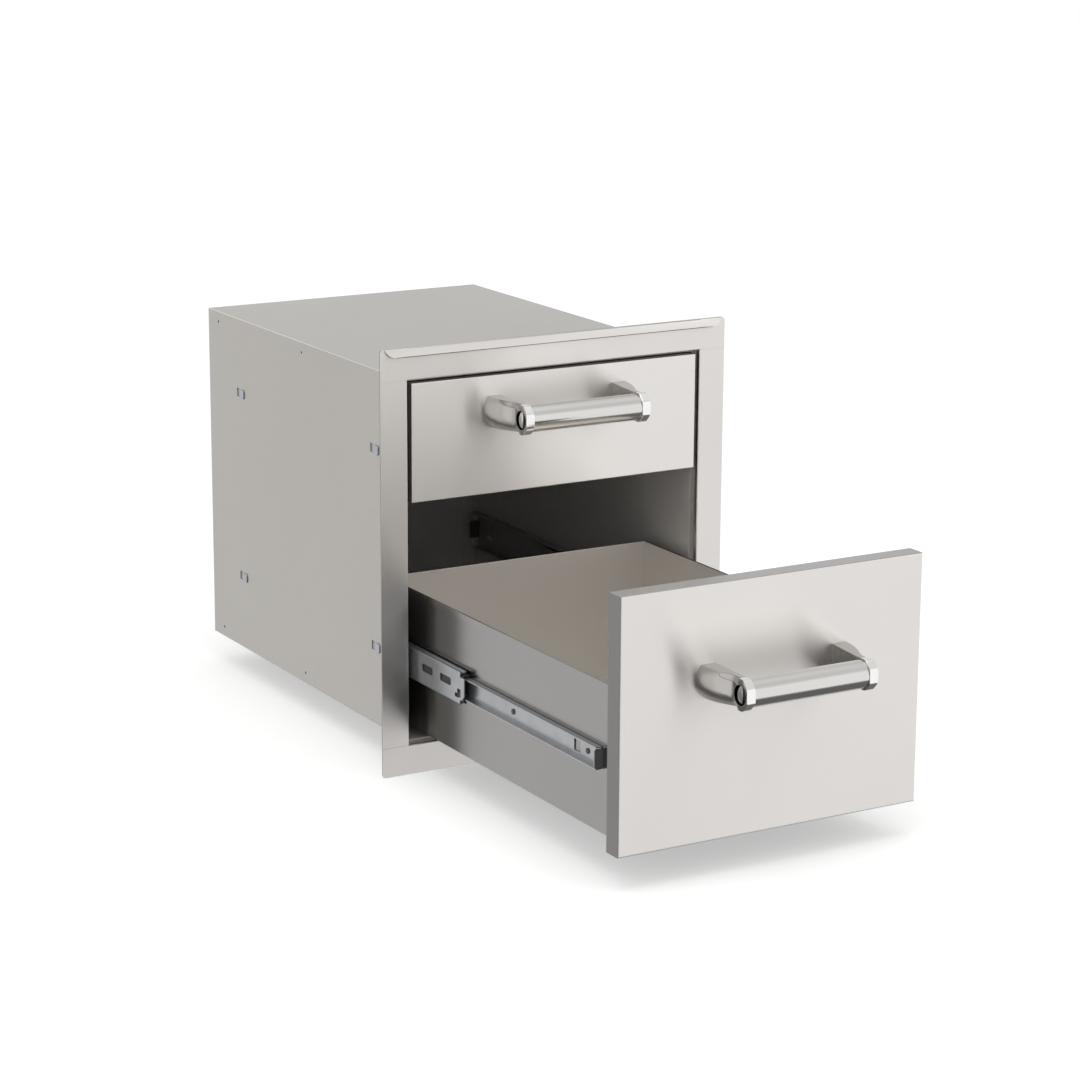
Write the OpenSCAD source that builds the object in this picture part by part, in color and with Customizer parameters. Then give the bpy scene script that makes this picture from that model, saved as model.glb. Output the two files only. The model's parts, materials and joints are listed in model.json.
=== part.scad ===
// Built-in two-drawer unit for an outdoor kitchen, in stainless steel sheet.
// Millimetres. X is to the right, Y runs back into the island, Z is up.
// The origin is the middle of the face frame's bottom edge, on the frame's back face.
// The lower drawer is drawn pulled out and the upper drawer shut.

/* [Face frame] */
// Width of the face frame
frame_w = 430; // [400:1:600]
// Height of the face frame
frame_h = 470; // [450:1:600]
// Thickness of the face frame's sheet
frame_t = 1.5; // [1.2:0.1:2]
// Width of each side border
stile_w = 32.5; // [28:0.5:40]
// Height of the border under the opening
bottom_rail_h = 33; // [28:0.5:40]
// Height of the border over the opening
top_rail_h = 35; // [30:0.5:45]
// Depth of the return round the opening, from the frame's front
return_d = 10.5; // [7:0.5:16]
// Radius of the frame's outer corners
frame_r = 4.5; // [2:0.5:6]

/* [Drip hood] */
// Bare length of top edge at each end of the hood
hood_inset = 5; // [4:0.5:15]
// Height of the hood's slanted face
hood_drop = 9.2; // [7:0.1:12]
// How far the hood's free edge stands in front of the frame
hood_reach = 4; // [3:0.1:6]
// Radius of the hood's lower corners
hood_r = 13.5; // [10:0.5:20]

/* [Cabinet] */
// Thickness of the cabinet and drawer sheets
sheet_t = 1; // [0.8:0.1:1.2]
// Step from the opening's side edge in to the cabinet's outer face
side_step = 2.3; // [2:0.1:2.8]
// Step from the opening's top or bottom edge in to the cabinet's outer face
end_step = 1.8; // [1.5:0.1:2.2]
// Height of the joining flanges along the top and bottom sheets
joint_flange_h = 20; // [14:0.5:24]
// Width of the side sheets' rear flanges
rear_flange_w = 16; // [10:0.5:25]
// Radius of the fixing holes in the cabinet's sides
fixing_hole_r = 1.6; // [1.5:0.1:2.5]
// Height of a fixing hole's centre inside the top or bottom face
fixing_hole_inset = 12; // [8:0.5:14]
// Distance from the cabinet's back to its rear fixing holes
fixing_hole_back = 28.5; // [20:0.5:60]
// Distance between the front and rear fixing holes
fixing_hole_pitch = 224.5; // [150:0.5:300]

/* [Slides] */
// Length of a slide, closed
slide_l = 450; // [400:1:550]
// Height of a cabinet rail
slide_h = 45.5; // [44:0.1:47]
// Space for a slide between the cabinet's side and the drawer's
slide_space = 13; // [12.9:0.05:14]
// Distance from the frame's back face to the front end of the rails
rail_setback = 48.5; // [35:0.5:60]
// Space behind the cabinet rails
rail_rear_gap = 13.8; // [8:0.1:25]
// Thickness of the rails
rail_t = 1.2; // [1:0.05:1.25]
// Diameter of the balls between the cabinet rails and the middle rails
outer_ball_d = 4.2; // [3.8:0.05:4.3]
// Diameter of the balls between the middle rails and the drawer rails
inner_ball_d = 3.2; // [2.8:0.05:3.5]
// Number of balls in each row
balls_per_row = 7; // [4:1:7]
// Distance between balls
ball_pitch = 20; // [12:0.5:21]
// Distance from a rail's front end to the middle of its front hook
front_hook = 38; // [30:0.5:60]
// Distance between the two hooks of a rail
hook_pitch = 344; // [300:0.5:350]

/* [Drawers] */
// Gap between a drawer front and the opening's side edge
side_gap = 4.7; // [4.3:0.1:6.5]
// Depth of the drawer fronts
front_d = 21.8; // [18:0.1:24]
// Share of the two fronts' height that the lower one takes
lower_front_share = 0.67; // [0.6:0.001:0.7]
// Gap under the lower front
bottom_gap = 3.4; // [3.2:0.1:5]
// Gap between the two fronts
middle_gap = 2.5; // [2:0.1:4]
// Gap over the upper front
top_gap = 3.8; // [3.4:0.1:5]
// Height of a drawer box's bottom over its front's bottom edge
box_rise = 9.3; // [6:0.1:14]
// Height from the lower front's top edge down to its box
lower_box_inset = 98.2; // [60:0.1:120]
// Height from the upper front's top edge down to its box
upper_box_inset = 51.1; // [35:0.1:54]
// Height of the slides' centre line, as a share of the box's height
slide_share = 0.5; // [0.48:0.005:0.52]
// Space behind a closed drawer box
box_rear_gap = 4.8; // [3.6:0.1:10]
// Height of the hem along the top of a drawer box
hem_h = 7; // [4:0.1:8]
// How far the lower drawer is pulled out, as a share of the slide's length
lower_open_share = 0.9458; // [0:0.001:1]
// How far the upper drawer is pulled out, as a share of the slide's length
upper_open_share = 0; // [0:0.001:1]

/* [Handles] */
// Height from the upper front's top edge down to its handle
upper_handle_inset = 39.5; // [30:0.1:60]
// Height from the lower front's top edge down to its handle
lower_handle_inset = 97.3; // [40:0.1:120]
// Diameter of the handle's bar
bar_d = 29; // [24:0.1:30]
// Wall of the handle's bar
bar_wall = 1.5; // [1:0.1:2.5]
// Length of the bar between the collars
bar_l = 134; // [100:0.5:200]
// Width of a collar, along the bar
collar_w = 10; // [8:0.1:14]
// Height of a collar
collar_h = 32; // [31:0.1:38]
// Depth of a collar, front to back
collar_d = 24; // [22.5:0.1:26]
// Size of the chamfers on a collar's front corners
collar_chamfer = 8.2; // [5:0.1:9]
// Distance from the drawer front to a collar's front face
handle_reach = 68; // [58:0.1:80]
// Height of an arm
arm_h = 35; // [31:0.1:40]
// Width of an arm's foot on the drawer front
arm_foot_w = 22; // [19:0.1:28]
// Diameter of the plugs in the collars' ends
plug_d = 20; // [14:0.1:21.5]
// Diameter of the handle screws
screw_d = 5; // [4:0.1:5]
// Distance between the two screws of an arm
screw_pitch = 18; // [12:0.1:20]

/* [Hidden] */

// Clearances, and the overrun of every cut
overrun = 1;
running_gap = 0.3;
hole_gap = 0.05;
hem_gap = 0.2;

// The frame's opening
face_y = -frame_t;
return_y = face_y + return_d;
opening_w = frame_w - 2 * stile_w;
opening_z0 = bottom_rail_h;
opening_z1 = frame_h - top_rail_h;

// The cabinet's outer faces, and the inner face of its sides
cabinet_w = opening_w - 2 * side_step;
cabinet_z0 = opening_z0 + end_step;
cabinet_z1 = opening_z1 - end_step;
cabinet_y1 = rail_setback + slide_l + rail_rear_gap;
cabinet_in = cabinet_w / 2 - sheet_t;
lip_x = opening_w / 2 + frame_t;
flange_y0 = return_y + front_d;
fixing_hole_y1 = cabinet_y1 - fixing_hole_back;

// Slide section, measured from the cabinet's side towards the drawer
race_gap = 0.3;
cage_t = 0.7;
web_gap = 1.8;
lip_drop = 1.2;
cabinet_rail_w = 10.6;
groove_deep = 1;
groove_flat = 3.2;
groove_slope = 0.7;
outer_ball_in = 3.9;
inner_ball_in = 3;
middle_flange_w = 8.1;
cage_tip_gap = 0.5;
middle_web_s = rail_t + web_gap;
outer_ball_s = middle_web_s + outer_ball_in;
inner_cage_s = middle_web_s + rail_t + race_gap;
drawer_rail_s = inner_cage_s + cage_t + race_gap;
inner_ball_s = slide_space - inner_ball_in;
middle_h = slide_h - 2 * (rail_t + outer_ball_d + 2 * race_gap - groove_deep);
drawer_rail_h = middle_h - 2 * (rail_t + inner_ball_d + 2 * race_gap + groove_deep);
outer_row_z = (slide_h - outer_ball_d) / 2 - rail_t - race_gap;
inner_row_z = (drawer_rail_h + inner_ball_d) / 2 + race_gap;
outer_cage_z = (middle_h + cage_t) / 2 + race_gap;

// Slide lengths and places, drawer shut
middle_rail_short = 20;
middle_rail_front = 1.5;
drawer_rail_short = 4;
web_nose = 8.7;
middle_share = 0.384;
cage_nose = 28;
cage_tail = 12;
outer_cage_back = 101.5;
inner_cage_back = 136;
cage_l = cage_nose + cage_tail + (balls_per_row - 1) * ball_pitch;

// Drawer parts
front_y1 = face_y + front_d;
box_y1 = cabinet_y1 - box_rear_gap;
box_w = 2 * (cabinet_in - slide_space);
front_w = opening_w - 2 * side_gap;
fronts_h = opening_z1 - opening_z0 - bottom_gap - middle_gap - top_gap;
lower_front_h = fronts_h * lower_front_share;
upper_front_h = fronts_h - lower_front_h;
lower_front_z0 = opening_z0 + bottom_gap;
upper_front_z0 = lower_front_z0 + lower_front_h + middle_gap;
lower_box_h = lower_front_h - box_rise - lower_box_inset;
upper_box_h = upper_front_h - box_rise - upper_box_inset;
liner_flange = 10;
rivet_d = 4;
rivet_head_d = 6;
rivet_head_t = 0.9;
rivet_shares = [0.056, 0.387, 0.92];
end_tab_short = 1.5;
end_tab_reach = 2.3;
window_back = 39.5;
window_l = 12.4;
window_h = 12;

// Handle parts
collar_x = bar_l / 2;
arm_nose_reach = handle_reach - collar_d;
arm_foot_gap = 2;
arm_foot_x = collar_x + arm_foot_gap;
bar_setback = 0.5;
bar_reach = handle_reach - bar_d / 2 - bar_setback;
spigot_l = 10;
plug_t = 2.4;
plug_deep = 2;
plug_reach = handle_reach - collar_d / 2;
screw_x = arm_foot_x + arm_foot_w / 2;
screw_head_d = 9;
screw_head_t = 3.2;
screw_l = 14;

// One value for the lower drawer and one for the upper
LOWER = 0;
UPPER = 1;
front_z = [lower_front_z0, upper_front_z0];
front_h = [lower_front_h, upper_front_h];
box_h = [lower_box_h, upper_box_h];
handle_inset = [lower_handle_inset, upper_handle_inset];
open_share = [lower_open_share, upper_open_share];

function box_z(d) = front_z[d] + box_rise;
function slide_z(d) = box_z(d) + slide_share * box_h[d];
function handle_z(d) = front_z[d] + front_h[d] - handle_inset[d];
function drawer_out(d) = open_share[d] * slide_l;

// Outline of a bent sheet of thickness t along a centre line, with mitred bends
function unit(v) = v / norm(v);
function left_of(v) = [-v.y, v.x];
function edge_dir(path, i) = unit(path[min(i + 1, len(path) - 1)] - path[min(i, len(path) - 2)]);
function mitre(path, i) =
    let (a = left_of(edge_dir(path, max(i - 1, 0))), b = left_of(edge_dir(path, i)))
    (a + b) / (1 + a * b);
function sheet_outline(path, t) = concat(
    [for (i = [0 : len(path) - 1]) path[i] + mitre(path, i) * t / 2],
    [for (i = [len(path) - 1 : -1 : 0]) path[i] - mitre(path, i) * t / 2]
);

// Extrusions: an X-Z section along Y, a Y-Z section along X, and a round bar or hole along X
module along_y(y0, y1) {
    translate([0, y1, 0]) rotate([90, 0, 0]) linear_extrude(y1 - y0) children();
}
module along_x(x0, x1) {
    translate([x0, 0, 0]) rotate([90, 0, 90]) linear_extrude(x1 - x0) children();
}
module block(low, high) {
    translate(low) cube(high - low);
}
module rod_x(x0, x1, y, z, r) {
    translate([x0, y, z]) rotate([0, 90, 0]) cylinder(h = x1 - x0, r = r, $fn = 48);
}

// Everything on one side is drawn on the right, and mirrored for the left
module left() {
    mirror([1, 0, 0]) children();
}
module both_sides() {
    children();
    left() children();
}

// A drawer's own pieces, its middle rails and its two sets of cages travel different shares
module travel(d, share) {
    translate([0, -share * drawer_out(d), 0]) children();
}

// Slide parts are drawn from the cabinet's inner face towards the drawer, at the slide's height
module slide_place(d) {
    translate([cabinet_in, 0, slide_z(d)]) mirror([1, 0, 0]) children();
}

// Face frame: two full-width rails and two stiles between them, each with its return
module corner_plate(h, flip) {
    along_y(face_y, 0) mirror([0, flip, 0]) {
        translate([-frame_w / 2, 0]) square([frame_w, h - frame_r]);
        translate([frame_r - frame_w / 2, 0]) square([frame_w - 2 * frame_r, h]);
        for (side = [-1, 1])
            translate([side * (frame_w / 2 - frame_r), h - frame_r]) circle(r = frame_r, $fn = 48);
    }
}

module hood_outline() {
    round_w = sqrt(hood_r * hood_r - (hood_r - hood_drop) * (hood_r - hood_drop));
    half = frame_w / 2 - hood_inset;
    translate([0, frame_h - hood_drop]) {
        intersection() {
            translate([-half, -overrun]) square([2 * half, hood_drop + 2 * overrun]);
            union() {
                translate([round_w - half, -overrun])
                    square([2 * (half - round_w), hood_drop + 2 * overrun]);
                for (side = [-1, 1])
                    translate([side * (half - round_w), hood_r]) circle(r = hood_r, $fn = 96);
            }
        }
    }
}

module drip_hood() {
    slant = atan2(hood_reach, hood_drop);
    inward = [cos(slant), -sin(slant)] * frame_t;
    top = [face_y, frame_h];
    tip = top - [hood_reach, hood_drop];
    intersection() {
        along_x(-frame_w / 2, frame_w / 2)
            polygon([top, tip, tip + inward, [face_y, frame_h - frame_t / sin(slant)]]);
        along_y(face_y - hood_reach - overrun, face_y + overrun) hood_outline();
    }
}

module frame_top_rail() {
    color("silver") {
        translate([0, 0, opening_z1]) corner_plate(top_rail_h, 0);
        block([-lip_x, 0, opening_z1], [lip_x, return_y, opening_z1 + frame_t]);
        drip_hood();
    }
}

module frame_bottom_rail() {
    color("silver") {
        translate([0, 0, opening_z0]) corner_plate(bottom_rail_h, 1);
        block([-lip_x, 0, opening_z0 - frame_t], [lip_x, return_y, opening_z0]);
    }
}

module frame_stile() {
    color("silver") {
        block([opening_w / 2, face_y, opening_z0], [frame_w / 2, 0, opening_z1]);
        block([opening_w / 2, 0, opening_z0], [lip_x, return_y, opening_z1]);
    }
}

// Cabinet sheets
module fixing_holes() {
    for (y = [fixing_hole_y1 - fixing_hole_pitch, fixing_hole_y1])
        for (z = [cabinet_z0 + fixing_hole_inset, cabinet_z1 - fixing_hole_inset])
            rod_x(cabinet_in - sheet_t - overrun, cabinet_w / 2 + overrun, y, z, fixing_hole_r);
}

hook_slot_l = 8.4;
hook_slot_h = 10;
hook_neck_l = 2.4;
hook_neck_h = 9;
hook_lap_l = 10;
hook_lap_h = 12.5;
function hook_y(i) = rail_setback + front_hook + i * hook_pitch;

module hook_slots() {
    for (d = [LOWER, UPPER])
        for (i = [0, 1])
            translate([cabinet_in - overrun, hook_y(i) - hook_slot_l / 2, slide_z(d) - hook_slot_h / 2])
                cube([sheet_t + 2 * overrun, hook_slot_l, hook_slot_h]);
}

module cabinet_side() {
    color("gainsboro") difference() {
        union() {
            block([cabinet_in, return_y, cabinet_z0], [cabinet_w / 2, cabinet_y1 - sheet_t, cabinet_z1]);
            block([cabinet_w / 2, return_y, cabinet_z0], [lip_x, return_y + sheet_t, cabinet_z1]);
            block([cabinet_in - rear_flange_w, cabinet_y1 - 2 * sheet_t, cabinet_z0 + sheet_t],
                  [cabinet_in, cabinet_y1 - sheet_t, cabinet_z1 - sheet_t]);
        }
        fixing_holes();
        hook_slots();
    }
}

// Drawn as the bottom sheet: flat sheet, front lip, and a joining flange along each side
module cabinet_end(z0, lip_z0) {
    flange_y1 = cabinet_y1 - 2 * sheet_t - running_gap;
    color("gainsboro") difference() {
        union() {
            block([-cabinet_in, return_y, z0], [cabinet_in, cabinet_y1 - sheet_t, z0 + sheet_t]);
            block([-lip_x, return_y, lip_z0], [lip_x, return_y + sheet_t, z0]);
            both_sides()
                block([cabinet_in - sheet_t, flange_y0, z0], [cabinet_in, flange_y1, z0 + joint_flange_h]);
        }
        both_sides() fixing_holes();
    }
}

module cabinet_bottom() {
    cabinet_end(cabinet_z0, opening_z0 - frame_t);
}

module cabinet_top() {
    middle_z = (cabinet_z0 + cabinet_z1) / 2;
    translate([0, 0, middle_z]) mirror([0, 0, 1]) translate([0, 0, -middle_z])
        cabinet_end(cabinet_z0, opening_z0 - frame_t);
}

module cabinet_back() {
    color("gainsboro")
        block([-cabinet_w / 2, cabinet_y1 - sheet_t, cabinet_z0], [cabinet_w / 2, cabinet_y1, cabinet_z1]);
}

// Cabinet rail: a channel with turned-in lips, hung on two hooks that reach through the side
module rail_hook() {
    block([-sheet_t - rail_t, -hook_slot_l / 2 + hole_gap, -hook_neck_h / 2],
          [0, -hook_slot_l / 2 + hole_gap + hook_neck_l, hook_neck_h / 2]);
    block([-sheet_t - rail_t, -hook_slot_l / 2 - hook_lap_l, -hook_lap_h / 2],
          [-sheet_t, -hook_slot_l / 2 + hole_gap, hook_lap_h / 2]);
}

module cabinet_rail(d) {
    flange_s = cabinet_rail_w - rail_t / 2;
    flange_z = (slide_h - rail_t) / 2;
    web_s = rail_t / 2;
    color("lightsteelblue") slide_place(d) {
        along_y(rail_setback, rail_setback + slide_l)
            polygon(sheet_outline([
                [flange_s, flange_z - lip_drop - rail_t / 2], [flange_s, flange_z], [web_s, flange_z],
                [web_s, -flange_z], [flange_s, -flange_z], [flange_s, lip_drop + rail_t / 2 - flange_z]
            ], rail_t));
        for (i = [0, 1]) translate([0, hook_y(i), 0]) rail_hook();
    }
}

stop_l = 3.7;
module rail_rear_stops() {
    stop_h = drawer_rail_h - 2 * rail_t;
    color("dimgray") both_sides()
        for (d = [LOWER, UPPER]) slide_place(d)
            translate([rail_t, rail_setback + slide_l - stop_l, -stop_h / 2])
                cube([slide_space - 2 * rail_t, stop_l, stop_h]);
}

// Middle rail: a grooved channel inside the cabinet rail, with slots near its front end
middle_slot_l = 24;
middle_slot_h = 8.5;
middle_slot_rise = 2;
middle_slot_back = 41;
middle_slot_pitch = 40.5;
middle_slot_places = [middle_slot_back, middle_slot_back + middle_slot_pitch];
notch_l = 9;
notch_h = 10;
notch_drop = 13;
notch_back = 8.5;
nose_chamfer = 5;
nose_top_chamfer = 1.5;

module middle_section() {
    z = (middle_h - rail_t) / 2;
    web = middle_web_s + rail_t / 2;
    flat = groove_flat / 2;
    half = [
        [middle_web_s + middle_flange_w, z], [outer_ball_s + flat + groove_slope, z],
        [outer_ball_s + flat, z - groove_deep], [outer_ball_s - flat, z - groove_deep],
        [outer_ball_s - flat - groove_slope, z], [web, z]
    ];
    other_half = [for (i = [len(half) - 1 : -1 : 0]) [half[i].x, -half[i].y]];
    polygon(sheet_outline(concat(half, other_half), rail_t));
}

module middle_rail(d) {
    front = rail_setback + middle_rail_front;
    rear = front + slide_l - middle_rail_short;
    nose_h = drawer_rail_h + rail_t;
    color("lightsteelblue") travel(d, middle_share) slide_place(d) difference() {
        union() {
            along_y(front + web_nose, rear) middle_section();
            translate([middle_web_s, 0, 0]) along_x(0, rail_t) polygon([
                [front + web_nose, -nose_h / 2], [front + nose_chamfer, -nose_h / 2],
                [front, nose_chamfer - nose_h / 2], [front, nose_h / 2 - nose_top_chamfer],
                [front + nose_top_chamfer, nose_h / 2], [front + web_nose, nose_h / 2]
            ]);
        }
        translate([middle_web_s - overrun, front, middle_slot_rise]) {
            for (y = middle_slot_places)
                translate([0, y - middle_slot_l / 2, -middle_slot_h / 2])
                    cube([rail_t + 2 * overrun, middle_slot_l, middle_slot_h]);
            translate([0, notch_back, -notch_drop])
                cube([rail_t + 2 * overrun, notch_l, notch_h]);
        }
    }
}

// Ball cages: a channel with a row of balls along its top and its bottom
module cage(back, web_s, tip_s, z, ball_s, ball_d) {
    y0 = rail_setback + back;
    difference() {
        along_y(y0, y0 + cage_l)
            polygon(sheet_outline([[tip_s, z], [web_s, z], [web_s, -z], [tip_s, -z]], cage_t));
        for (i = [0 : balls_per_row - 1])
            translate([ball_s, y0 + cage_nose + i * ball_pitch, -z - overrun])
                cylinder(h = 2 * (z + overrun), d = ball_d + 2 * race_gap, $fn = 32);
    }
}

module ball_rows(back, ball_s, z, ball_d) {
    for (i = [0 : balls_per_row - 1])
        for (side = [-1, 1])
            translate([ball_s, rail_setback + back + cage_nose + i * ball_pitch, side * z])
                sphere(d = ball_d, $fn = 24);
}

module outer_cages(d) {
    color("gray") travel(d, middle_share / 2) both_sides() slide_place(d)
        cage(outer_cage_back, rail_t + web_gap / 2, cabinet_rail_w,
             outer_cage_z, outer_ball_s, outer_ball_d);
}

module outer_balls(d) {
    color("white") travel(d, middle_share / 2) both_sides() slide_place(d)
        ball_rows(outer_cage_back, outer_ball_s, outer_row_z, outer_ball_d);
}

module inner_cages(d) {
    color("dimgray") travel(d, (1 + middle_share) / 2) both_sides() slide_place(d)
        cage(inner_cage_back, inner_cage_s + cage_t / 2, slide_space - cage_tip_gap,
             inner_row_z, inner_ball_s, inner_ball_d);
}

module inner_balls(d) {
    color("white") travel(d, (1 + middle_share) / 2) both_sides() slide_place(d)
        ball_rows(inner_cage_back, inner_ball_s, inner_row_z, inner_ball_d);
}

// Drawer rail: a channel against the drawer's side, with a window and a turned-out tab in front
function rivet_y(share) = rail_setback + share * slide_l;

module drawer_rail(d) {
    rear = rail_setback + slide_l - drawer_rail_short;
    flange_z = (drawer_rail_h - rail_t) / 2;
    web_s = slide_space - rail_t / 2;
    color("lightsteelblue") travel(d, 1) slide_place(d) difference() {
        union() {
            along_y(rail_setback, rear) polygon(sheet_outline([
                [drawer_rail_s, flange_z], [web_s, flange_z], [web_s, -flange_z], [drawer_rail_s, -flange_z]
            ], rail_t));
            block([drawer_rail_s - end_tab_reach, rail_setback - rail_t, end_tab_short - drawer_rail_h / 2],
                  [slide_space, rail_setback, drawer_rail_h / 2 - end_tab_short]);
        }
        for (share = rivet_shares)
            rod_x(slide_space - rail_t - overrun, slide_space + overrun, rivet_y(share), 0,
                  rivet_d / 2 + hole_gap);
        block([slide_space - rail_t - overrun, rail_setback + window_back, -window_h / 2],
              [slide_space + overrun, rail_setback + window_back + window_l, window_h / 2]);
    }
}

// Rivets through the drawer rail and the drawer's side
module rail_rivets(d) {
    s0 = slide_space - rail_t;
    s1 = slide_space + sheet_t;
    color("silver") travel(d, 1) both_sides() slide_place(d)
        for (share = rivet_shares) {
            rod_x(s0 - rivet_head_t, s0, rivet_y(share), 0, rivet_head_d / 2);
            rod_x(s0, s1, rivet_y(share), 0, rivet_d / 2);
            rod_x(s1, s1 + rivet_head_t, rivet_y(share), 0, rivet_head_d / 2);
        }
}

// Drawer front: a folded outer skin with a liner closing its back
module screw_places(d) {
    for (side = [-1, 1])
        for (end = [-1, 1])
            translate([side * screw_x, 0, handle_z(d) + end * screw_pitch / 2])
                rotate([90, 0, 0]) children();
}

module front_skin(d) {
    z0 = front_z[d];
    z1 = z0 + front_h[d];
    color("silver") travel(d, 1) difference() {
        block([-front_w / 2, face_y, z0], [front_w / 2, front_y1, z1]);
        block([sheet_t - front_w / 2, face_y + sheet_t, z0 + sheet_t],
              [front_w / 2 - sheet_t, front_y1 + overrun, z1 - sheet_t]);
        screw_places(d) translate([0, 0, -face_y - sheet_t - overrun])
            cylinder(h = sheet_t + 2 * overrun, d = screw_d + 2 * hole_gap, $fn = 48);
    }
}

module front_liner(d) {
    x = front_w / 2 - sheet_t;
    z0 = front_z[d] + sheet_t;
    z1 = front_z[d] + front_h[d] - sheet_t;
    y0 = front_y1 - liner_flange;
    color("gainsboro") travel(d, 1) difference() {
        block([-x, y0, z0], [x, front_y1, z1]);
        block([sheet_t - x, y0 - overrun, z0 + sheet_t], [x - sheet_t, front_y1 - sheet_t, z1 - sheet_t]);
    }
}

// Drawer box: five sheets, with a hem turned out along the top of the sides and back
module box_front(d) {
    color("gainsboro") travel(d, 1)
        block([sheet_t - box_w / 2, front_y1, box_z(d)],
              [box_w / 2 - sheet_t, front_y1 + sheet_t, box_z(d) + box_h[d]]);
}

module hemmed_section(h) {
    fold = sheet_t + hem_gap;
    polygon(sheet_outline([
        [-sheet_t / 2, 0], [-sheet_t / 2, h - sheet_t / 2],
        [fold - sheet_t / 2, h - sheet_t / 2], [fold - sheet_t / 2, h - hem_h]
    ], sheet_t));
}

module box_side(d) {
    color("gainsboro") travel(d, 1) difference() {
        along_y(front_y1, box_y1) translate([box_w / 2, box_z(d)]) hemmed_section(box_h[d]);
        for (share = rivet_shares)
            rod_x(box_w / 2 - sheet_t - overrun, box_w / 2 + overrun, rivet_y(share), slide_z(d),
                  rivet_d / 2 + hole_gap);
    }
}

module box_back(d) {
    color("gainsboro") travel(d, 1)
        along_x(sheet_t - box_w / 2, box_w / 2 - sheet_t)
            translate([box_y1, box_z(d)]) hemmed_section(box_h[d]);
}

module box_bottom(d) {
    color("gainsboro") travel(d, 1)
        block([sheet_t - box_w / 2, front_y1 + sheet_t, box_z(d)],
              [box_w / 2 - sheet_t, box_y1 - sheet_t, box_z(d) + sheet_t]);
}

// Handle, drawn forward from the drawer front: reach counts up towards the user
module handle_place(d) {
    travel(d, 1) translate([0, face_y, handle_z(d)]) mirror([0, 1, 0]) children();
}

arm_steps = 12;
arm_curve = 1.7;
arm_end_x = arm_foot_x + arm_foot_w;
function arm_outer(u) =
    [arm_end_x - (arm_end_x - collar_x - collar_w) * pow(u, arm_curve), u * arm_nose_reach];

module handle_arm(d) {
    color("silver") handle_place(d) difference() {
        intersection() {
            translate([0, 0, -arm_h / 2]) linear_extrude(arm_h)
                polygon(concat(
                    [[arm_foot_x, 0]],
                    [for (i = [0 : arm_steps]) arm_outer(i / arm_steps)],
                    [[collar_x, arm_nose_reach]]
                ));
            along_x(collar_x, arm_end_x) polygon([
                [0, -arm_h / 2], [arm_nose_reach, -collar_h / 2],
                [arm_nose_reach, collar_h / 2], [0, arm_h / 2]
            ]);
        }
        for (end = [-1, 1])
            translate([screw_x, 0, end * screw_pitch / 2])
                rotate([-90, 0, 0]) translate([0, 0, -overrun])
                    cylinder(h = screw_l + overrun + hole_gap, d = screw_d + 2 * hole_gap, $fn = 48);
    }
}

module handle_collar(d) {
    r0 = handle_reach - collar_d;
    color("white") handle_place(d) difference() {
        union() {
            along_x(collar_x, collar_x + collar_w) polygon([
                [r0, -collar_h / 2], [handle_reach - collar_chamfer, -collar_h / 2],
                [handle_reach, collar_chamfer - collar_h / 2], [handle_reach, collar_h / 2 - collar_chamfer],
                [handle_reach - collar_chamfer, collar_h / 2], [r0, collar_h / 2]
            ]);
            rod_x(collar_x - spigot_l, collar_x, bar_reach, 0, bar_d / 2 - bar_wall - hole_gap);
        }
        rod_x(collar_x + collar_w - plug_deep, collar_x + collar_w + overrun, plug_reach, 0,
              plug_d / 2 + hole_gap);
    }
}

module handle_bar(d) {
    color("silver") handle_place(d) difference() {
        rod_x(-collar_x, collar_x, bar_reach, 0, bar_d / 2);
        rod_x(-collar_x - overrun, collar_x + overrun, bar_reach, 0, bar_d / 2 - bar_wall);
    }
}

module handle_plugs(d) {
    x0 = collar_x + collar_w - plug_deep;
    color("white") both_sides() handle_place(d)
        rod_x(x0, x0 + plug_t, plug_reach, 0, plug_d / 2);
}

// Screws from inside the drawer front into the arms
module handle_screws(d) {
    color("silver") travel(d, 1) screw_places(d) {
        translate([0, 0, -face_y - sheet_t - screw_head_t])
            cylinder(h = screw_head_t, d = screw_head_d, $fn = 48);
        translate([0, 0, -face_y - sheet_t])
            cylinder(h = sheet_t + screw_l, d = screw_d, $fn = 48);
    }
}

frame_top_rail();
frame_bottom_rail();
left() frame_stile();  // frame_left_stile
frame_stile();  // frame_right_stile
left() cabinet_side();  // cabinet_left_side
cabinet_side();  // cabinet_right_side
cabinet_top();
cabinet_bottom();
cabinet_back();
left() cabinet_rail(LOWER);  // lower_left_cabinet_rail
cabinet_rail(LOWER);  // lower_right_cabinet_rail
left() cabinet_rail(UPPER);  // upper_left_cabinet_rail
cabinet_rail(UPPER);  // upper_right_cabinet_rail
rail_rear_stops();
left() middle_rail(LOWER);  // lower_left_middle_rail
middle_rail(LOWER);  // lower_right_middle_rail
left() middle_rail(UPPER);  // upper_left_middle_rail
middle_rail(UPPER);  // upper_right_middle_rail
outer_cages(LOWER);  // lower_outer_cages
outer_balls(LOWER);  // lower_outer_balls
inner_cages(LOWER);  // lower_inner_cages
inner_balls(LOWER);  // lower_inner_balls
outer_cages(UPPER);  // upper_outer_cages
outer_balls(UPPER);  // upper_outer_balls
inner_cages(UPPER);  // upper_inner_cages
inner_balls(UPPER);  // upper_inner_balls
front_skin(LOWER);  // lower_front_skin
front_liner(LOWER);  // lower_front_liner
box_front(LOWER);  // lower_box_front
left() box_side(LOWER);  // lower_box_left_side
box_side(LOWER);  // lower_box_right_side
box_back(LOWER);  // lower_box_back
box_bottom(LOWER);  // lower_box_bottom
left() drawer_rail(LOWER);  // lower_left_drawer_rail
drawer_rail(LOWER);  // lower_right_drawer_rail
rail_rivets(LOWER);  // lower_rail_rivets
left() handle_arm(LOWER);  // lower_handle_left_arm
handle_arm(LOWER);  // lower_handle_right_arm
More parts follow.
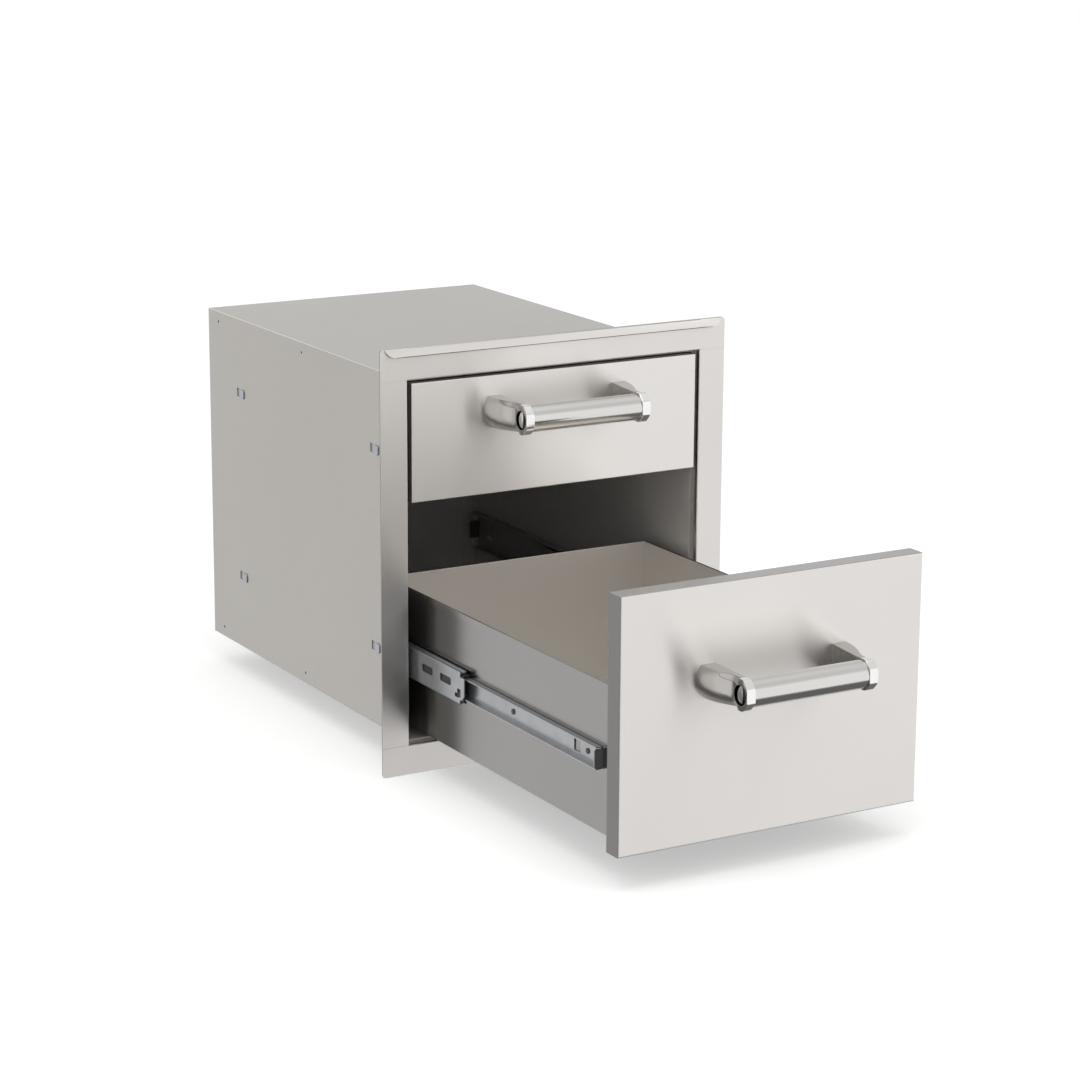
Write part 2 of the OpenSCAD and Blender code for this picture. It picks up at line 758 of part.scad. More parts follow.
left() handle_collar(LOWER);  // lower_handle_left_collar
handle_collar(LOWER);  // lower_handle_right_collar
handle_bar(LOWER);  // lower_handle_bar
handle_plugs(LOWER);  // lower_handle_plugs
handle_screws(LOWER);  // lower_handle_screws
front_skin(UPPER);  // upper_front_skin
front_liner(UPPER);  // upper_front_liner
box_front(UPPER);  // upper_box_front
left() box_side(UPPER);  // upper_box_left_side
box_side(UPPER);  // upper_box_right_side
box_back(UPPER);  // upper_box_back
box_bottom(UPPER);  // upper_box_bottom
left() drawer_rail(UPPER);  // upper_left_drawer_rail
drawer_rail(UPPER);  // upper_right_drawer_rail
rail_rivets(UPPER);  // upper_rail_rivets
left() handle_arm(UPPER);  // upper_handle_left_arm
handle_arm(UPPER);  // upper_handle_right_arm
left() handle_collar(UPPER);  // upper_handle_left_collar
handle_collar(UPPER);  // upper_handle_right_collar
handle_bar(UPPER);  // upper_handle_bar
handle_plugs(UPPER);  // upper_handle_plugs
handle_screws(UPPER);  // upper_handle_screws
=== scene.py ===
# Two-drawer stainless unit for an outdoor kitchen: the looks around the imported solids.
import json
import math

import bmesh
import bpy
from mathutils import Matrix, Vector


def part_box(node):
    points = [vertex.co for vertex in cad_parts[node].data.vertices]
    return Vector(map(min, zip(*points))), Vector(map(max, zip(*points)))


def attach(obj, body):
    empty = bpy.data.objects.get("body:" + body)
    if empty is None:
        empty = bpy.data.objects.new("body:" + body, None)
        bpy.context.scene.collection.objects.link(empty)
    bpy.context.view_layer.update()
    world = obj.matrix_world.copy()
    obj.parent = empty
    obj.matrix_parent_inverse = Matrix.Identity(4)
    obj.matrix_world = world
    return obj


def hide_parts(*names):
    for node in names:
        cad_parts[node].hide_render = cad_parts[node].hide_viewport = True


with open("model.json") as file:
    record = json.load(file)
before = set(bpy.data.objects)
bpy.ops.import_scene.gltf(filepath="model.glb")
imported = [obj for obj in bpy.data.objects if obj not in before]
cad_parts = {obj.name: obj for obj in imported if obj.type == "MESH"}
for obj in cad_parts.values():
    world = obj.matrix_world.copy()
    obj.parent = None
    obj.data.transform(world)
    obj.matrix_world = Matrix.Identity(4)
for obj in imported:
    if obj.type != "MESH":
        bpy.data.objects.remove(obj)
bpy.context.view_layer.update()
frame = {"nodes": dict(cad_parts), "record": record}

mm = 0.001
record = frame["record"]
bodyOf = {node: body for body, nodes in record["behaviour"]["bodies"].items() for node in nodes}
drawers = ("lower", "upper")
sides = {"left": -1, "right": 1}


# Camera: place in mm, angles in degrees
camera = {
    "place": (-1689.6, -2885.8, 1079.9),
    "azimuth": -30.058,
    "elevation": 14.106,
    "roll": 0.3086,
    "lens": 104.96,
    "sensor": 36,
}


def addCamera():
    az, el, roll = (math.radians(camera[k]) for k in ("azimuth", "elevation", "roll"))
    back = Vector((math.sin(az) * math.cos(el), -math.cos(az) * math.cos(el), math.sin(el)))
    right = Vector((0, 0, 1)).cross(back).normalized()
    up = back.cross(right)
    turnedRight = right * math.cos(roll) + up * math.sin(roll)
    turnedUp = up * math.cos(roll) - right * math.sin(roll)
    bpy.ops.object.camera_add()
    eye = bpy.context.active_object
    eye.name = "photoCamera"
    turn = Matrix((turnedRight, turnedUp, back)).transposed().to_4x4()
    eye.matrix_world = Matrix.Translation(Vector(camera["place"]) * mm) @ turn
    eye.data.lens = camera["lens"]
    eye.data.sensor_width = camera["sensor"]
    eye.data.clip_start = 0.05
    eye.data.clip_end = 60
    bpy.context.scene.camera = eye


addCamera()
print("camera is in place")


# Hand tools: choosing, bending, cutting
def useOnly(piece):
    bpy.ops.object.select_all(action="DESELECT")
    piece.select_set(True)
    bpy.context.view_layer.objects.active = piece


def editing(piece, kind="EDGE"):
    useOnly(piece)
    bpy.ops.object.mode_set(mode="EDIT")
    bpy.ops.mesh.select_mode(type=kind)
    bpy.ops.mesh.select_all(action="DESELECT")


def stopEditing():
    bpy.ops.object.mode_set(mode="OBJECT")


# Selects the parts of the open mesh that pass a test on their place, in mm
def pick(piece, kind, test):
    shape = bmesh.from_edit_mesh(piece.data)
    found = 0
    if kind == "VERT":
        for vert in shape.verts:
            chosen = bool(test(vert.co / mm))
            vert.select_set(chosen)
            found += chosen
    elif kind == "EDGE":
        for edge in shape.edges:
            a, b = (v.co / mm for v in edge.verts)
            chosen = bool(test((a + b) / 2, b - a))
            edge.select_set(chosen)
            found += chosen
    else:
        for face in shape.faces:
            chosen = bool(test(face.calc_center_median() / mm, face.normal))
            face.select_set(chosen)
            found += chosen
    shape.select_flush_mode()
    bmesh.update_edit_mesh(piece.data)
    return found


# Rounds the edges that run along one axis through the given places
def bend(piece, along, radius, steps=4, low=-9999, high=9999, **places):
    editing(piece)
    run = "xyz".index(along)
    spots = [("xyz".index(axis), places[axis]) for axis in places]

    def onLine(middle, length):
        straight = abs(length[run]) > 0.999 * length.length
        near = all(abs(middle[axis] - place) < 0.03 for axis, place in spots)
        return straight and near and low < middle[run] < high

    if pick(piece, "EDGE", onLine):
        bpy.ops.mesh.bevel(offset=radius * mm, segments=steps, affect="EDGES")
    else:
        print("no edge to bend on", piece.name, along, places)
    stopEditing()


# Cuts the mesh across at a place, without taking anything away
def scoreAcross(piece, axis, place):
    editing(piece)
    bpy.ops.mesh.select_all(action="SELECT")
    normal = [0, 0, 0]
    normal["xyz".index(axis)] = 1
    bpy.ops.mesh.bisect(plane_co=[n * place * mm for n in normal], plane_no=normal)
    stopEditing()


# Lets the large flat faces set the shading, so that holes leave no streaks on them
def evenShading(piece):
    useOnly(piece)
    even = piece.modifiers.new("even", "WEIGHTED_NORMAL")
    even.keep_sharp = True
    even.weight = 100
    bpy.ops.object.modifier_apply(modifier=even.name)


def softenRims(piece, width=0.2, steps=2, limit=38, smooth=32):
    useOnly(piece)
    rim = piece.modifiers.new("rim", "BEVEL")
    rim.width = width * mm
    rim.segments = steps
    rim.angle_limit = math.radians(limit)
    bpy.ops.object.modifier_apply(modifier=rim.name)
    bpy.ops.object.shade_smooth_by_angle(angle=math.radians(smooth))
    evenShading(piece)


def cutAway(piece, cutter):
    useOnly(piece)
    cut = piece.modifiers.new("cut", "BOOLEAN")
    cut.operation = "DIFFERENCE"
    cut.solver = "MANIFOLD"
    cut.object = cutter
    bpy.ops.object.modifier_apply(modifier=cut.name)
    bpy.data.objects.remove(cutter)
    if not piece.data.polygons:
        print("nothing left of", piece.name)


def placeMesh(piece):
    useOnly(piece)
    bpy.ops.object.transform_apply(location=True, rotation=True, scale=True)


def turnFacesOut(piece):
    editing(piece, "FACE")
    bpy.ops.mesh.select_all(action="SELECT")
    bpy.ops.mesh.normals_make_consistent(inside=False)
    stopEditing()


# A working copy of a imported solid, its triangles merged into clean faces
def fromSolid(node, name):
    mesh = frame["nodes"][node].data.copy()
    mesh.name = name
    mesh.materials.clear()
    piece = bpy.data.objects.new(name, mesh)
    bpy.context.scene.collection.objects.link(piece)
    editing(piece, "VERT")
    bpy.ops.mesh.select_all(action="SELECT")
    bpy.ops.mesh.customdata_custom_splitnormals_clear()
    bpy.ops.mesh.remove_doubles(threshold=0.000004)
    bpy.ops.mesh.dissolve_limited(angle_limit=math.radians(0.5))
    stopEditing()
    while mesh.uv_layers:
        mesh.uv_layers.remove(mesh.uv_layers[0])
    return piece


def block(name, low, high):
    low, high = Vector(low), Vector(high)
    bpy.ops.object.select_all(action="DESELECT")
    bpy.ops.mesh.primitive_cube_add(size=mm, location=(low + high) / 2 * mm, scale=high - low)
    piece = bpy.context.active_object
    piece.name = piece.data.name = name
    placeMesh(piece)
    return piece


# A round bar that lies along X
def rod(name, middle, radius, length, sides=48):
    bpy.ops.object.select_all(action="DESELECT")
    bpy.ops.mesh.primitive_cylinder_add(
        vertices=sides, radius=radius * mm, depth=length * mm, location=Vector(middle) * mm,
        rotation=(0, math.pi / 2, 0)
    )
    piece = bpy.context.active_object
    piece.name = piece.data.name = name
    placeMesh(piece)
    return piece


# A sheet bent along a line: the line is drawn point by point and pulled out to length,
# each bend gets its radius, and the sheet its thickness
def bentStrip(name, line, along, low, high, thickness, radius):
    others = [axis for axis in "xyz" if axis != along]

    def spot(point, distance):
        at = {others[0]: point[0], others[1]: point[1], along: distance}
        return Vector((at["x"], at["y"], at["z"])) * mm

    bpy.ops.object.select_all(action="DESELECT")
    bpy.ops.mesh.primitive_plane_add(size=0.01, location=spot(line[0], low))
    piece = bpy.context.active_object
    piece.name = piece.data.name = name
    placeMesh(piece)
    editing(piece, "VERT")
    bpy.ops.mesh.select_all(action="SELECT")
    bpy.ops.mesh.merge(type="CENTER")
    for start, end in zip(line, line[1:]):
        step = spot(end, 0) - spot(start, 0)
        bpy.ops.mesh.extrude_vertices_move(TRANSFORM_OT_translate={"value": step})
    bpy.ops.mesh.select_all(action="SELECT")
    pull = spot((0, 0), high) - spot((0, 0), low)
    bpy.ops.mesh.extrude_region_move(TRANSFORM_OT_translate={"value": pull})
    stopEditing()
    for before, point, after in zip(line, line[1:], line[2:]):
        arrive = Vector(point) - Vector(before)
        leave = Vector(after) - Vector(point)
        tangent = radius * math.tan(arrive.angle(leave) / 2)
        bend(piece, along, tangent, steps=3, **dict(zip(others, point)))
    turnFacesOut(piece)
    sheet = piece.modifiers.new("sheet", "SOLIDIFY")
    sheet.thickness = thickness * mm
    sheet.offset = 0
    sheet.use_even_offset = True
    useOnly(piece)
    bpy.ops.object.modifier_apply(modifier=sheet.name)
    turnFacesOut(piece)
    return piece


def copyPiece(piece, name, mirrored=False, move=(0, 0, 0)):
    twin = piece.copy()
    twin.data = piece.data.copy()
    twin.name = twin.data.name = name
    bpy.context.scene.collection.objects.link(twin)
    twin.scale = (-1 if mirrored else 1, 1, 1)
    twin.location = Vector(move) * mm
    placeMesh(twin)
    if mirrored:
        turnFacesOut(twin)
        bpy.ops.mesh.customdata_custom_splitnormals_clear()
        evenShading(twin)
    return twin


# Gives a piece its body, its slot and its finish, and lets it stand for its solid
def fit(piece, node, finish, replace=True):
    if piece.data.materials:
        piece.data.materials[0] = finish
    else:
        piece.data.materials.append(finish)
    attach(piece, bodyOf[node])
    if replace:
        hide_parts(node)
    return piece


# Gives the faces that pass a test on their place and direction another finish; every use here paints
# shade, highlights or dark reflections into the colour
def paint(piece, finish, test):
    piece.data.materials.append(finishes[finish])
    number = len(piece.data.materials) - 1
    for face in piece.data.polygons:
        if test(face.center / mm, face.normal):
            face.material_index = number


def dressSolid(node, finish):
    mesh = frame["nodes"][node].data
    mesh.materials.clear()
    mesh.materials.append(finish)


# Finishes
def addNode(tree, kind, **settings):
    made = tree.nodes.new(kind)
    for key, value in settings.items():
        setattr(made, key, value)
    return made


def newGroup(name, inputs, outputs):
    group = bpy.data.node_groups.new(name, "ShaderNodeTree")
    for label, kind, value in inputs:
        socket = group.interface.new_socket(name=label, in_out="INPUT", socket_type=kind)
        if value is not None:
            socket.default_value = value
    for label, kind in outputs:
        group.interface.new_socket(name=label, in_out="OUTPUT", socket_type=kind)
    return group, addNode(group, "NodeGroupInput"), addNode(group, "NodeGroupOutput")


# A noise between two levels, drawn out to the range from 0 to 1
def addNoise(group, place, detail, low, high, out):
    noise = addNode(group, "ShaderNodeTexNoise")
    noise.inputs["Detail"].default_value = detail
    group.links.new(place, noise.inputs["Vector"])
    level = addNode(group, "ShaderNodeMapRange")
    level.inputs["From Min"].default_value = low
    level.inputs["From Max"].default_value = high
    group.links.new(noise.outputs["Fac"], level.inputs["Value"])
    group.links.new(level.outputs["Result"], out)
    return noise


# Long fine lines left by the brushing belt, and the slow drift of its pressure
def makeBrushLines():
    group, given, out = newGroup(
        "brushLines",
        [("Position", "NodeSocketVector", None), ("Stretch", "NodeSocketVector", (20, 900, 900)),
         ("Drift", "NodeSocketFloat", 5.0)],
        [("Lines", "NodeSocketFloat"), ("Drift", "NodeSocketFloat")],
    )
    links = group.links
    stretched = addNode(group, "ShaderNodeVectorMath", operation="MULTIPLY")
    links.new(given.outputs["Position"], stretched.inputs[0])
    links.new(given.outputs["Stretch"], stretched.inputs[1])
    lines = addNoise(group, stretched.outputs[0], 4, 0.3, 0.7, out.inputs["Lines"])
    lines.inputs["Scale"].default_value = 1
    lines.inputs["Roughness"].default_value = 0.65
    slow = addNoise(group, given.outputs["Position"], 2, 0.3, 0.7, out.inputs["Drift"])
    links.new(given.outputs["Drift"], slow.inputs["Scale"])
    return group


# Small crystals and clouds of a plated or cast skin
def makeMottle():
    group, given, out = newGroup(
        "mottle",
        [("Position", "NodeSocketVector", None), ("Grain", "NodeSocketFloat", 400.0),
         ("Cloud", "NodeSocketFloat", 30.0)],
        [("Grain", "NodeSocketFloat"), ("Cloud", "NodeSocketFloat")],
    )
    for label, detail, low, high in (("Grain", 5, 0.35, 0.65), ("Cloud", 3, 0.3, 0.7)):
        noise = addNoise(group, given.outputs["Position"], detail, low, high, out.inputs[label])
        group.links.new(given.outputs[label], noise.inputs["Scale"])
    return group


brushLines = makeBrushLines()
mottle = makeMottle()


def newFinish(name):
    finish = bpy.data.materials.new(name)
    finish.use_nodes = True
    tree = finish.node_tree
    tree.nodes.clear()
    shader = addNode(tree, "ShaderNodeBsdfPrincipled")
    output = addNode(tree, "ShaderNodeOutputMaterial")
    tree.links.new(shader.outputs["BSDF"], output.inputs["Surface"])
    where = addNode(tree, "ShaderNodeTexCoord")
    return finish, tree, shader, where


def blendColour(tree, mask, dark, light):
    mix = addNode(tree, "ShaderNodeMix", data_type="RGBA")
    mix.inputs[6].default_value = (*dark, 1)
    mix.inputs[7].default_value = (*light, 1)
    tree.links.new(mask, mix.inputs["Factor"])
    return mix.outputs[2]


def spread(tree, mask, low, high):
    ranged = addNode(tree, "ShaderNodeMapRange")
    ranged.inputs["To Min"].default_value = low
    ranged.inputs["To Max"].default_value = high
    tree.links.new(mask, ranged.inputs["Value"])
    return ranged.outputs["Result"]


def mean(tree, first, second, share=0.5):
    mix = addNode(tree, "ShaderNodeMix", data_type="FLOAT")
    mix.inputs["Factor"].default_value = share
    tree.links.new(first, mix.inputs[2])
    tree.links.new(second, mix.inputs[3])
    return mix.outputs[0]


def rise(tree, shader, height, strength, depth):
    bump = addNode(tree, "ShaderNodeBump")
    bump.inputs["Strength"].default_value = strength
    bump.inputs["Distance"].default_value = depth * mm
    tree.links.new(height, bump.inputs["Height"])
    tree.links.new(bump.outputs["Normal"], shader.inputs["Normal"])


# Brushed or rolled steel; stretch gives lines per metre along X, Y and Z
def steelFinish(name, light, dark, stretch, rough, metal=1, grip=0, turn=0, bumpDepth=0.004,
                drift=5):
    finish, tree, shader, where = newFinish(name)
    lines = addNode(tree, "ShaderNodeGroup", node_tree=brushLines)
    lines.inputs["Stretch"].default_value = stretch
    lines.inputs["Drift"].default_value = drift
    tree.links.new(where.outputs["Object"], lines.inputs["Position"])
    both = mean(tree, lines.outputs["Lines"], lines.outputs["Drift"], 0.4)
    tree.links.new(blendColour(tree, both, dark, light), shader.inputs["Base Color"])
    tree.links.new(spread(tree, both, rough[1], rough[0]), shader.inputs["Roughness"])
    rise(tree, shader, lines.outputs["Lines"], 0.25, bumpDepth)
    shader.inputs["Metallic"].default_value = metal
    shader.inputs["Anisotropic"].default_value = grip
    shader.inputs["Anisotropic Rotation"].default_value = turn
    return finish


# Plated, cast, moulded or rubber skins
def skinFinish(name, light, dark, grain, cloud, rough, metal=0, bumpDepth=0.02, strength=0.2):
    finish, tree, shader, where = newFinish(name)
    skin = addNode(tree, "ShaderNodeGroup", node_tree=mottle)
    skin.inputs["Grain"].default_value = grain
    skin.inputs["Cloud"].default_value = cloud
    tree.links.new(where.outputs["Object"], skin.inputs["Position"])
    both = mean(tree, skin.outputs["Grain"], skin.outputs["Cloud"], 0.6)
    tree.links.new(blendColour(tree, both, dark, light), shader.inputs["Base Color"])
    tree.links.new(spread(tree, both, rough[1], rough[0]), shader.inputs["Roughness"])
    rise(tree, shader, skin.outputs["Grain"], strength, bumpDepth)
    shader.inputs["Metallic"].default_value = metal
    return finish


finishes = {
    "brushedAcross": steelFinish("brushedAcross", (0.92, 0.89, 0.86), (0.90, 0.87, 0.84),
                                 (40, 3500, 3500), (0.30, 0.33), grip=0.97, turn=0.25),
    # the face frame's steel; also a painted highlight on the cabinet sides' top bends
    "frameSteelAndBendHighlight": steelFinish("frameSteelAndBendHighlight", (0.87, 0.84, 0.81), (0.85, 0.82, 0.79),
                              (40, 3500, 3500), (0.30, 0.33), grip=0.97, turn=0.25),
    # painted shade: a darker copy of the frame's steel for its outer side faces
    "shadedFrameEdge": steelFinish("shadedFrameEdge", (0.26, 0.255, 0.25), (0.23, 0.225, 0.22),
                             (2000, 2000, 60), (0.32, 0.38)),
    # painted shade: darker copies of the fronts' steel for their folds, one for top and bottom, one
    # for the sides
    "shadedFoldTop": steelFinish("shadedFoldTop", (0.39, 0.38, 0.37), (0.36, 0.35, 0.34),
                             (60, 2000, 2000), (0.32, 0.38)),
    "shadedFoldSide": steelFinish("shadedFoldSide", (0.225, 0.22, 0.215), (0.205, 0.20, 0.195),
                              (2000, 2000, 60), (0.32, 0.38)),
    # painted shadow: near black, for the shadow under the hood's lip
    "hoodShadowEdge": steelFinish("hoodShadowEdge", (0.02, 0.02, 0.02), (0.015, 0.015, 0.015),
                            (2000, 60, 60), (0.5, 0.6), metal=0),
    # the cabinet's sheet; also painted shade on the top rail's ridge
    "satinSheetAndRidgeShade": steelFinish("satinSheetAndRidgeShade", (0.475, 0.457, 0.432), (0.455, 0.437, 0.412),
                              (1200, 60, 1200), (0.36, 0.42), drift=3),
    # painted light: a lighter, less metallic copy of the cabinet's sheet for its inner faces
    "litCabinetInside": steelFinish("litCabinetInside", (0.74, 0.715, 0.69), (0.70, 0.675, 0.65),
                                 (1200, 60, 1200), (0.40, 0.46), metal=0.3, drift=3),
    # painted shade outside and painted light inside: two copies of the drawer box's one steel
    "shadedDrawerOutside": steelFinish("shadedDrawerOutside", (0.315, 0.31, 0.30), (0.295, 0.29, 0.28),
                                 (1200, 60, 1200), (0.20, 0.24), drift=4),
    "litDrawerInside": steelFinish("litDrawerInside", (0.82, 0.79, 0.75), (0.78, 0.75, 0.71),
                                (60, 1200, 1200), (0.32, 0.38), metal=0.8, drift=4),
    "brushedBar": steelFinish("brushedBar", (0.74, 0.73, 0.71), (0.69, 0.68, 0.66),
                              (20, 3000, 3000), (0.11, 0.15), bumpDepth=0.003),
    "zincPlate": skinFinish("zincPlate", (0.44, 0.45, 0.465), (0.37, 0.38, 0.395), 1500, 60,
                            (0.26, 0.34), metal=0.85, bumpDepth=0.004),
    "zincBright": skinFinish("zincBright", (0.40, 0.425, 0.46), (0.36, 0.38, 0.415), 1500, 60,
                             (0.2, 0.28), metal=1, bumpDepth=0.004),
    # painted light: a less metallic copy of the zinc plate, lighter in the dark cabinet
    "litZincInside": skinFinish("litZincInside", (0.40, 0.395, 0.39), (0.36, 0.355, 0.35), 1500, 60,
                             (0.3, 0.4), metal=0.4, bumpDepth=0.004),
    "polishedChrome": skinFinish("polishedChrome", (0.93, 0.925, 0.915), (0.89, 0.885, 0.875), 120,
                                 20, (0.03, 0.06), metal=1, bumpDepth=0.001, strength=0.05),
    "satinCast": skinFinish("satinCast", (0.52, 0.505, 0.485), (0.48, 0.465, 0.445), 1500, 60,
                            (0.17, 0.21), metal=1, bumpDepth=0.003, strength=0.1),
    # painted shade: a darker copy of the cast finish for the arms' inner faces
    "shadedCastInside": skinFinish("shadedCastInside", (0.40, 0.385, 0.365), (0.37, 0.355, 0.335), 1500, 60,
                             (0.25, 0.32), metal=1, bumpDepth=0.003, strength=0.1),
    # painted shade: the dark line round the handle's leaf facet
    "paintedShadeLine": skinFinish("paintedShadeLine", (0.14, 0.135, 0.13), (0.11, 0.106, 0.10), 900, 60,
                           (0.3, 0.4), metal=1),
    # painted shade: the fronts' steel liner made near black
    "shadedLinerSheet": steelFinish("shadedLinerSheet", (0.12, 0.116, 0.11), (0.10, 0.097, 0.092),
                              (60, 1200, 1200), (0.32, 0.38), drift=4),
    # painted shade: rivets made near black, as if in shadow
    "shadedRivet": skinFinish("shadedRivet", (0.10, 0.10, 0.105), (0.07, 0.07, 0.075), 1500, 60,
                            (0.35, 0.45), metal=1, bumpDepth=0.01),
    # painted shade and reflection: near-black mirror for the socket's wall and the plug's crescents
    "paintedShadeAndReflection": skinFinish("paintedShadeAndReflection", (0.03, 0.03, 0.03), (0.02, 0.02, 0.02), 120, 20,
                             (0.05, 0.08), metal=1, bumpDepth=0.001, strength=0.05),
    "fastenerSteel": skinFinish("fastenerSteel", (0.45, 0.45, 0.45), (0.36, 0.36, 0.36), 1500, 60,
                                (0.28, 0.4), metal=1, bumpDepth=0.01),
    "cagePlastic": skinFinish("cagePlastic", (0.035, 0.035, 0.038), (0.02, 0.02, 0.022), 900, 80,
                              (0.38, 0.5), bumpDepth=0.02),
    "bumperRubber": skinFinish("bumperRubber", (0.09, 0.085, 0.08), (0.07, 0.066, 0.062), 1200, 90,
                               (0.6, 0.75), bumpDepth=0.03),
}
print("finishes are mixed")

# Face frame, in mm like the pieces after it
faceFrame = {"bendRadius": 1.4, "ridgeRadius": 1.3, "rim": 0.25, "face": -1.5, "hoodDrop": 9.2,
             "hoodReach": 4, "hoodShadowEdge": 1.3}


def makeFaceFrame():
    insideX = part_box("frame_right_stile")[0].x / mm
    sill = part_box("frame_right_stile")[0].z / mm
    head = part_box("frame_right_stile")[1].z / mm
    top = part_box("frame_top_rail")[1].z / mm
    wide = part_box("frame_top_rail")[1].x / mm
    for node, name, edge in (("frame_top_rail", "topRail", head),
                             ("frame_bottom_rail", "bottomRail", sill)):
        piece = fromSolid(node, name)
        for side in (-1, 1):
            scoreAcross(piece, "x", side * insideX)
        bend(piece, "x", faceFrame["bendRadius"], low=-insideX, high=insideX, y=faceFrame["face"],
             z=edge)
        if name == "topRail":
            bend(piece, "x", faceFrame["ridgeRadius"], y=faceFrame["face"], z=top)
            # the hood's lower edge is bevelled so that its faces can carry the painted shadow
            bend(piece, "x", faceFrame["hoodShadowEdge"], steps=2,
                 y=faceFrame["face"] - faceFrame["hoodReach"], z=top - faceFrame["hoodDrop"])
        softenRims(piece, faceFrame["rim"])
        fit(piece, node, finishes["frameSteelAndBendHighlight"])
        # painted shade: the rails' outer end faces get the darker copy of the steel
        paint(piece, "shadedFrameEdge", lambda m, n: abs(n.x) > 0.7 and abs(m.x) > insideX)
        if name == "topRail":
            # painted shadow: the hood's down-facing edge faces are made near black
            paint(piece, "hoodShadowEdge", lambda m, n: m.y < faceFrame["face"] - 0.5 and n.z < -0.3)
            # painted shade: the ridge's upward faces get the darker cabinet sheet, to dim their
            # highlight
            paint(piece, "satinSheetAndRidgeShade", lambda m, n: m.z > top - 1.2 and n.z > 0.5)
    for side, sign in sides.items():
        node = f"frame_{side}_stile"
        piece = fromSolid(node, f"{side}Stile")
        bend(piece, "z", faceFrame["bendRadius"], x=sign * insideX, y=faceFrame["face"])
        softenRims(piece, faceFrame["rim"])
        fit(piece, node, finishes["frameSteelAndBendHighlight"])
        # painted shade: the stiles' outer side faces get the darker copy of the steel
        paint(piece, "shadedFrameEdge", lambda m, n: abs(n.x) > 0.7 and abs(m.x) > wide - 1)


makeFaceFrame()
print("face frame is made")

# Cabinet
cabinet = {"bendRadius": 1.6, "rim": 0.15}


def makeCabinet():
    low, high = (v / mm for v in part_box("cabinet_back"))
    for side, sign in sides.items():
        node = f"cabinet_{side}_side"
        piece = fromSolid(node, f"cabinet{side.title()}Side")
        for z in (low.z, high.z):
            bend(piece, "y", cabinet["bendRadius"], x=sign * high.x, z=z)
        softenRims(piece, cabinet["rim"])
        fit(piece, node, finishes["satinSheetAndRidgeShade"])
        # painted light on the sides' inner faces
        paint(piece, "litCabinetInside", lambda m, n: abs(m.x) < high.x - 0.5)
        # painted highlight: the top bend's up-and-out faces get the brighter frame steel
        paint(piece, "frameSteelAndBendHighlight", lambda m, n: n.z > 0.25 and n.x * sign > 0.25)
    for node, name in (("cabinet_top", "cabinetTop"), ("cabinet_bottom", "cabinetBottom"),
                       ("cabinet_back", "cabinetBack")):
        piece = fromSolid(node, name)
        softenRims(piece, 0.1)
        fit(piece, node, finishes["satinSheetAndRidgeShade"])
        # painted light on the inner faces
        paint(piece, "litCabinetInside",
              lambda m, n: low.z + 0.5 < m.z < high.z - 0.5 and m.y < high.y - 0.5)


makeCabinet()
print("cabinet is made")

# Drawers
drawer = {"sheet": 1, "frontRadius": 1.5, "seamRadius": 0.35, "hemRadius": 1.0, "rim": 0.15}


# A folded pan: face and four returns, each fold with its radius
def makePan(name, low, high):
    pan = block(name, low, high)
    editing(pan, "FACE")
    pick(pan, "FACE", lambda m, n: n.y > 0.9)
    bpy.ops.mesh.delete(type="FACE")
    bpy.ops.mesh.select_mode(type="EDGE")
    pick(pan, "EDGE", lambda m, run: abs(m.y - low.y) < 0.01)
    bpy.ops.mesh.bevel(offset=drawer["frontRadius"] * mm, segments=4, affect="EDGES")
    stopEditing()
    sheet = pan.modifiers.new("sheet", "SOLIDIFY")
    sheet.thickness = drawer["sheet"] * mm
    sheet.offset = -1
    sheet.use_even_offset = True
    bpy.ops.object.modifier_apply(modifier=sheet.name)
    turnFacesOut(pan)
    softenRims(pan, drawer["seamRadius"])
    return pan


def makeDrawer(which):
    node = f"{which}_front_skin"
    skin = makePan(f"{which}FrontSkin", *(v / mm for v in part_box(node)))
    fit(skin, node, finishes["brushedAcross"])
    # painted shade: the folds facing up, down and sideways get darker copies of the steel
    paint(skin, "shadedFoldTop", lambda m, n: abs(n.z) > 0.6)
    paint(skin, "shadedFoldSide", lambda m, n: abs(n.x) > 0.6)

    node = f"{which}_front_liner"
    liner = fromSolid(node, f"{which}FrontLiner")
    softenRims(liner, 0.3)
    # painted shade: the liner is near black
    fit(liner, node, finishes["shadedLinerSheet"])

    boxLow, boxHigh = (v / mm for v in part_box(f"{which}_box_bottom"))
    for part in ("box_front", "box_left_side", "box_right_side", "box_back", "box_bottom"):
        node = f"{which}_{part}"
        piece = fromSolid(node, which + "".join(word.title() for word in part.split("_")))
        partLow, partHigh = (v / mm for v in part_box(node))
        if "side" in part:
            for x in (partLow.x, partHigh.x):
                bend(piece, "y", drawer["hemRadius"], x=x, z=partHigh.z)
        elif part == "box_back":
            for y in (partLow.y, partHigh.y):
                bend(piece, "x", drawer["hemRadius"], y=y, z=partHigh.z)
        softenRims(piece, drawer["rim"])
        # painted shade on the outer faces, painted light on the inner faces
        fit(piece, node, finishes["shadedDrawerOutside"])
        paint(piece, "litDrawerInside",
              lambda m, n: (abs(m.x) < boxHigh.x + 0.1 and m.y < boxHigh.y + 0.1
                            and m.z > boxLow.z + 0.5))


for which in drawers:
    makeDrawer(which)
print("drawers are made")

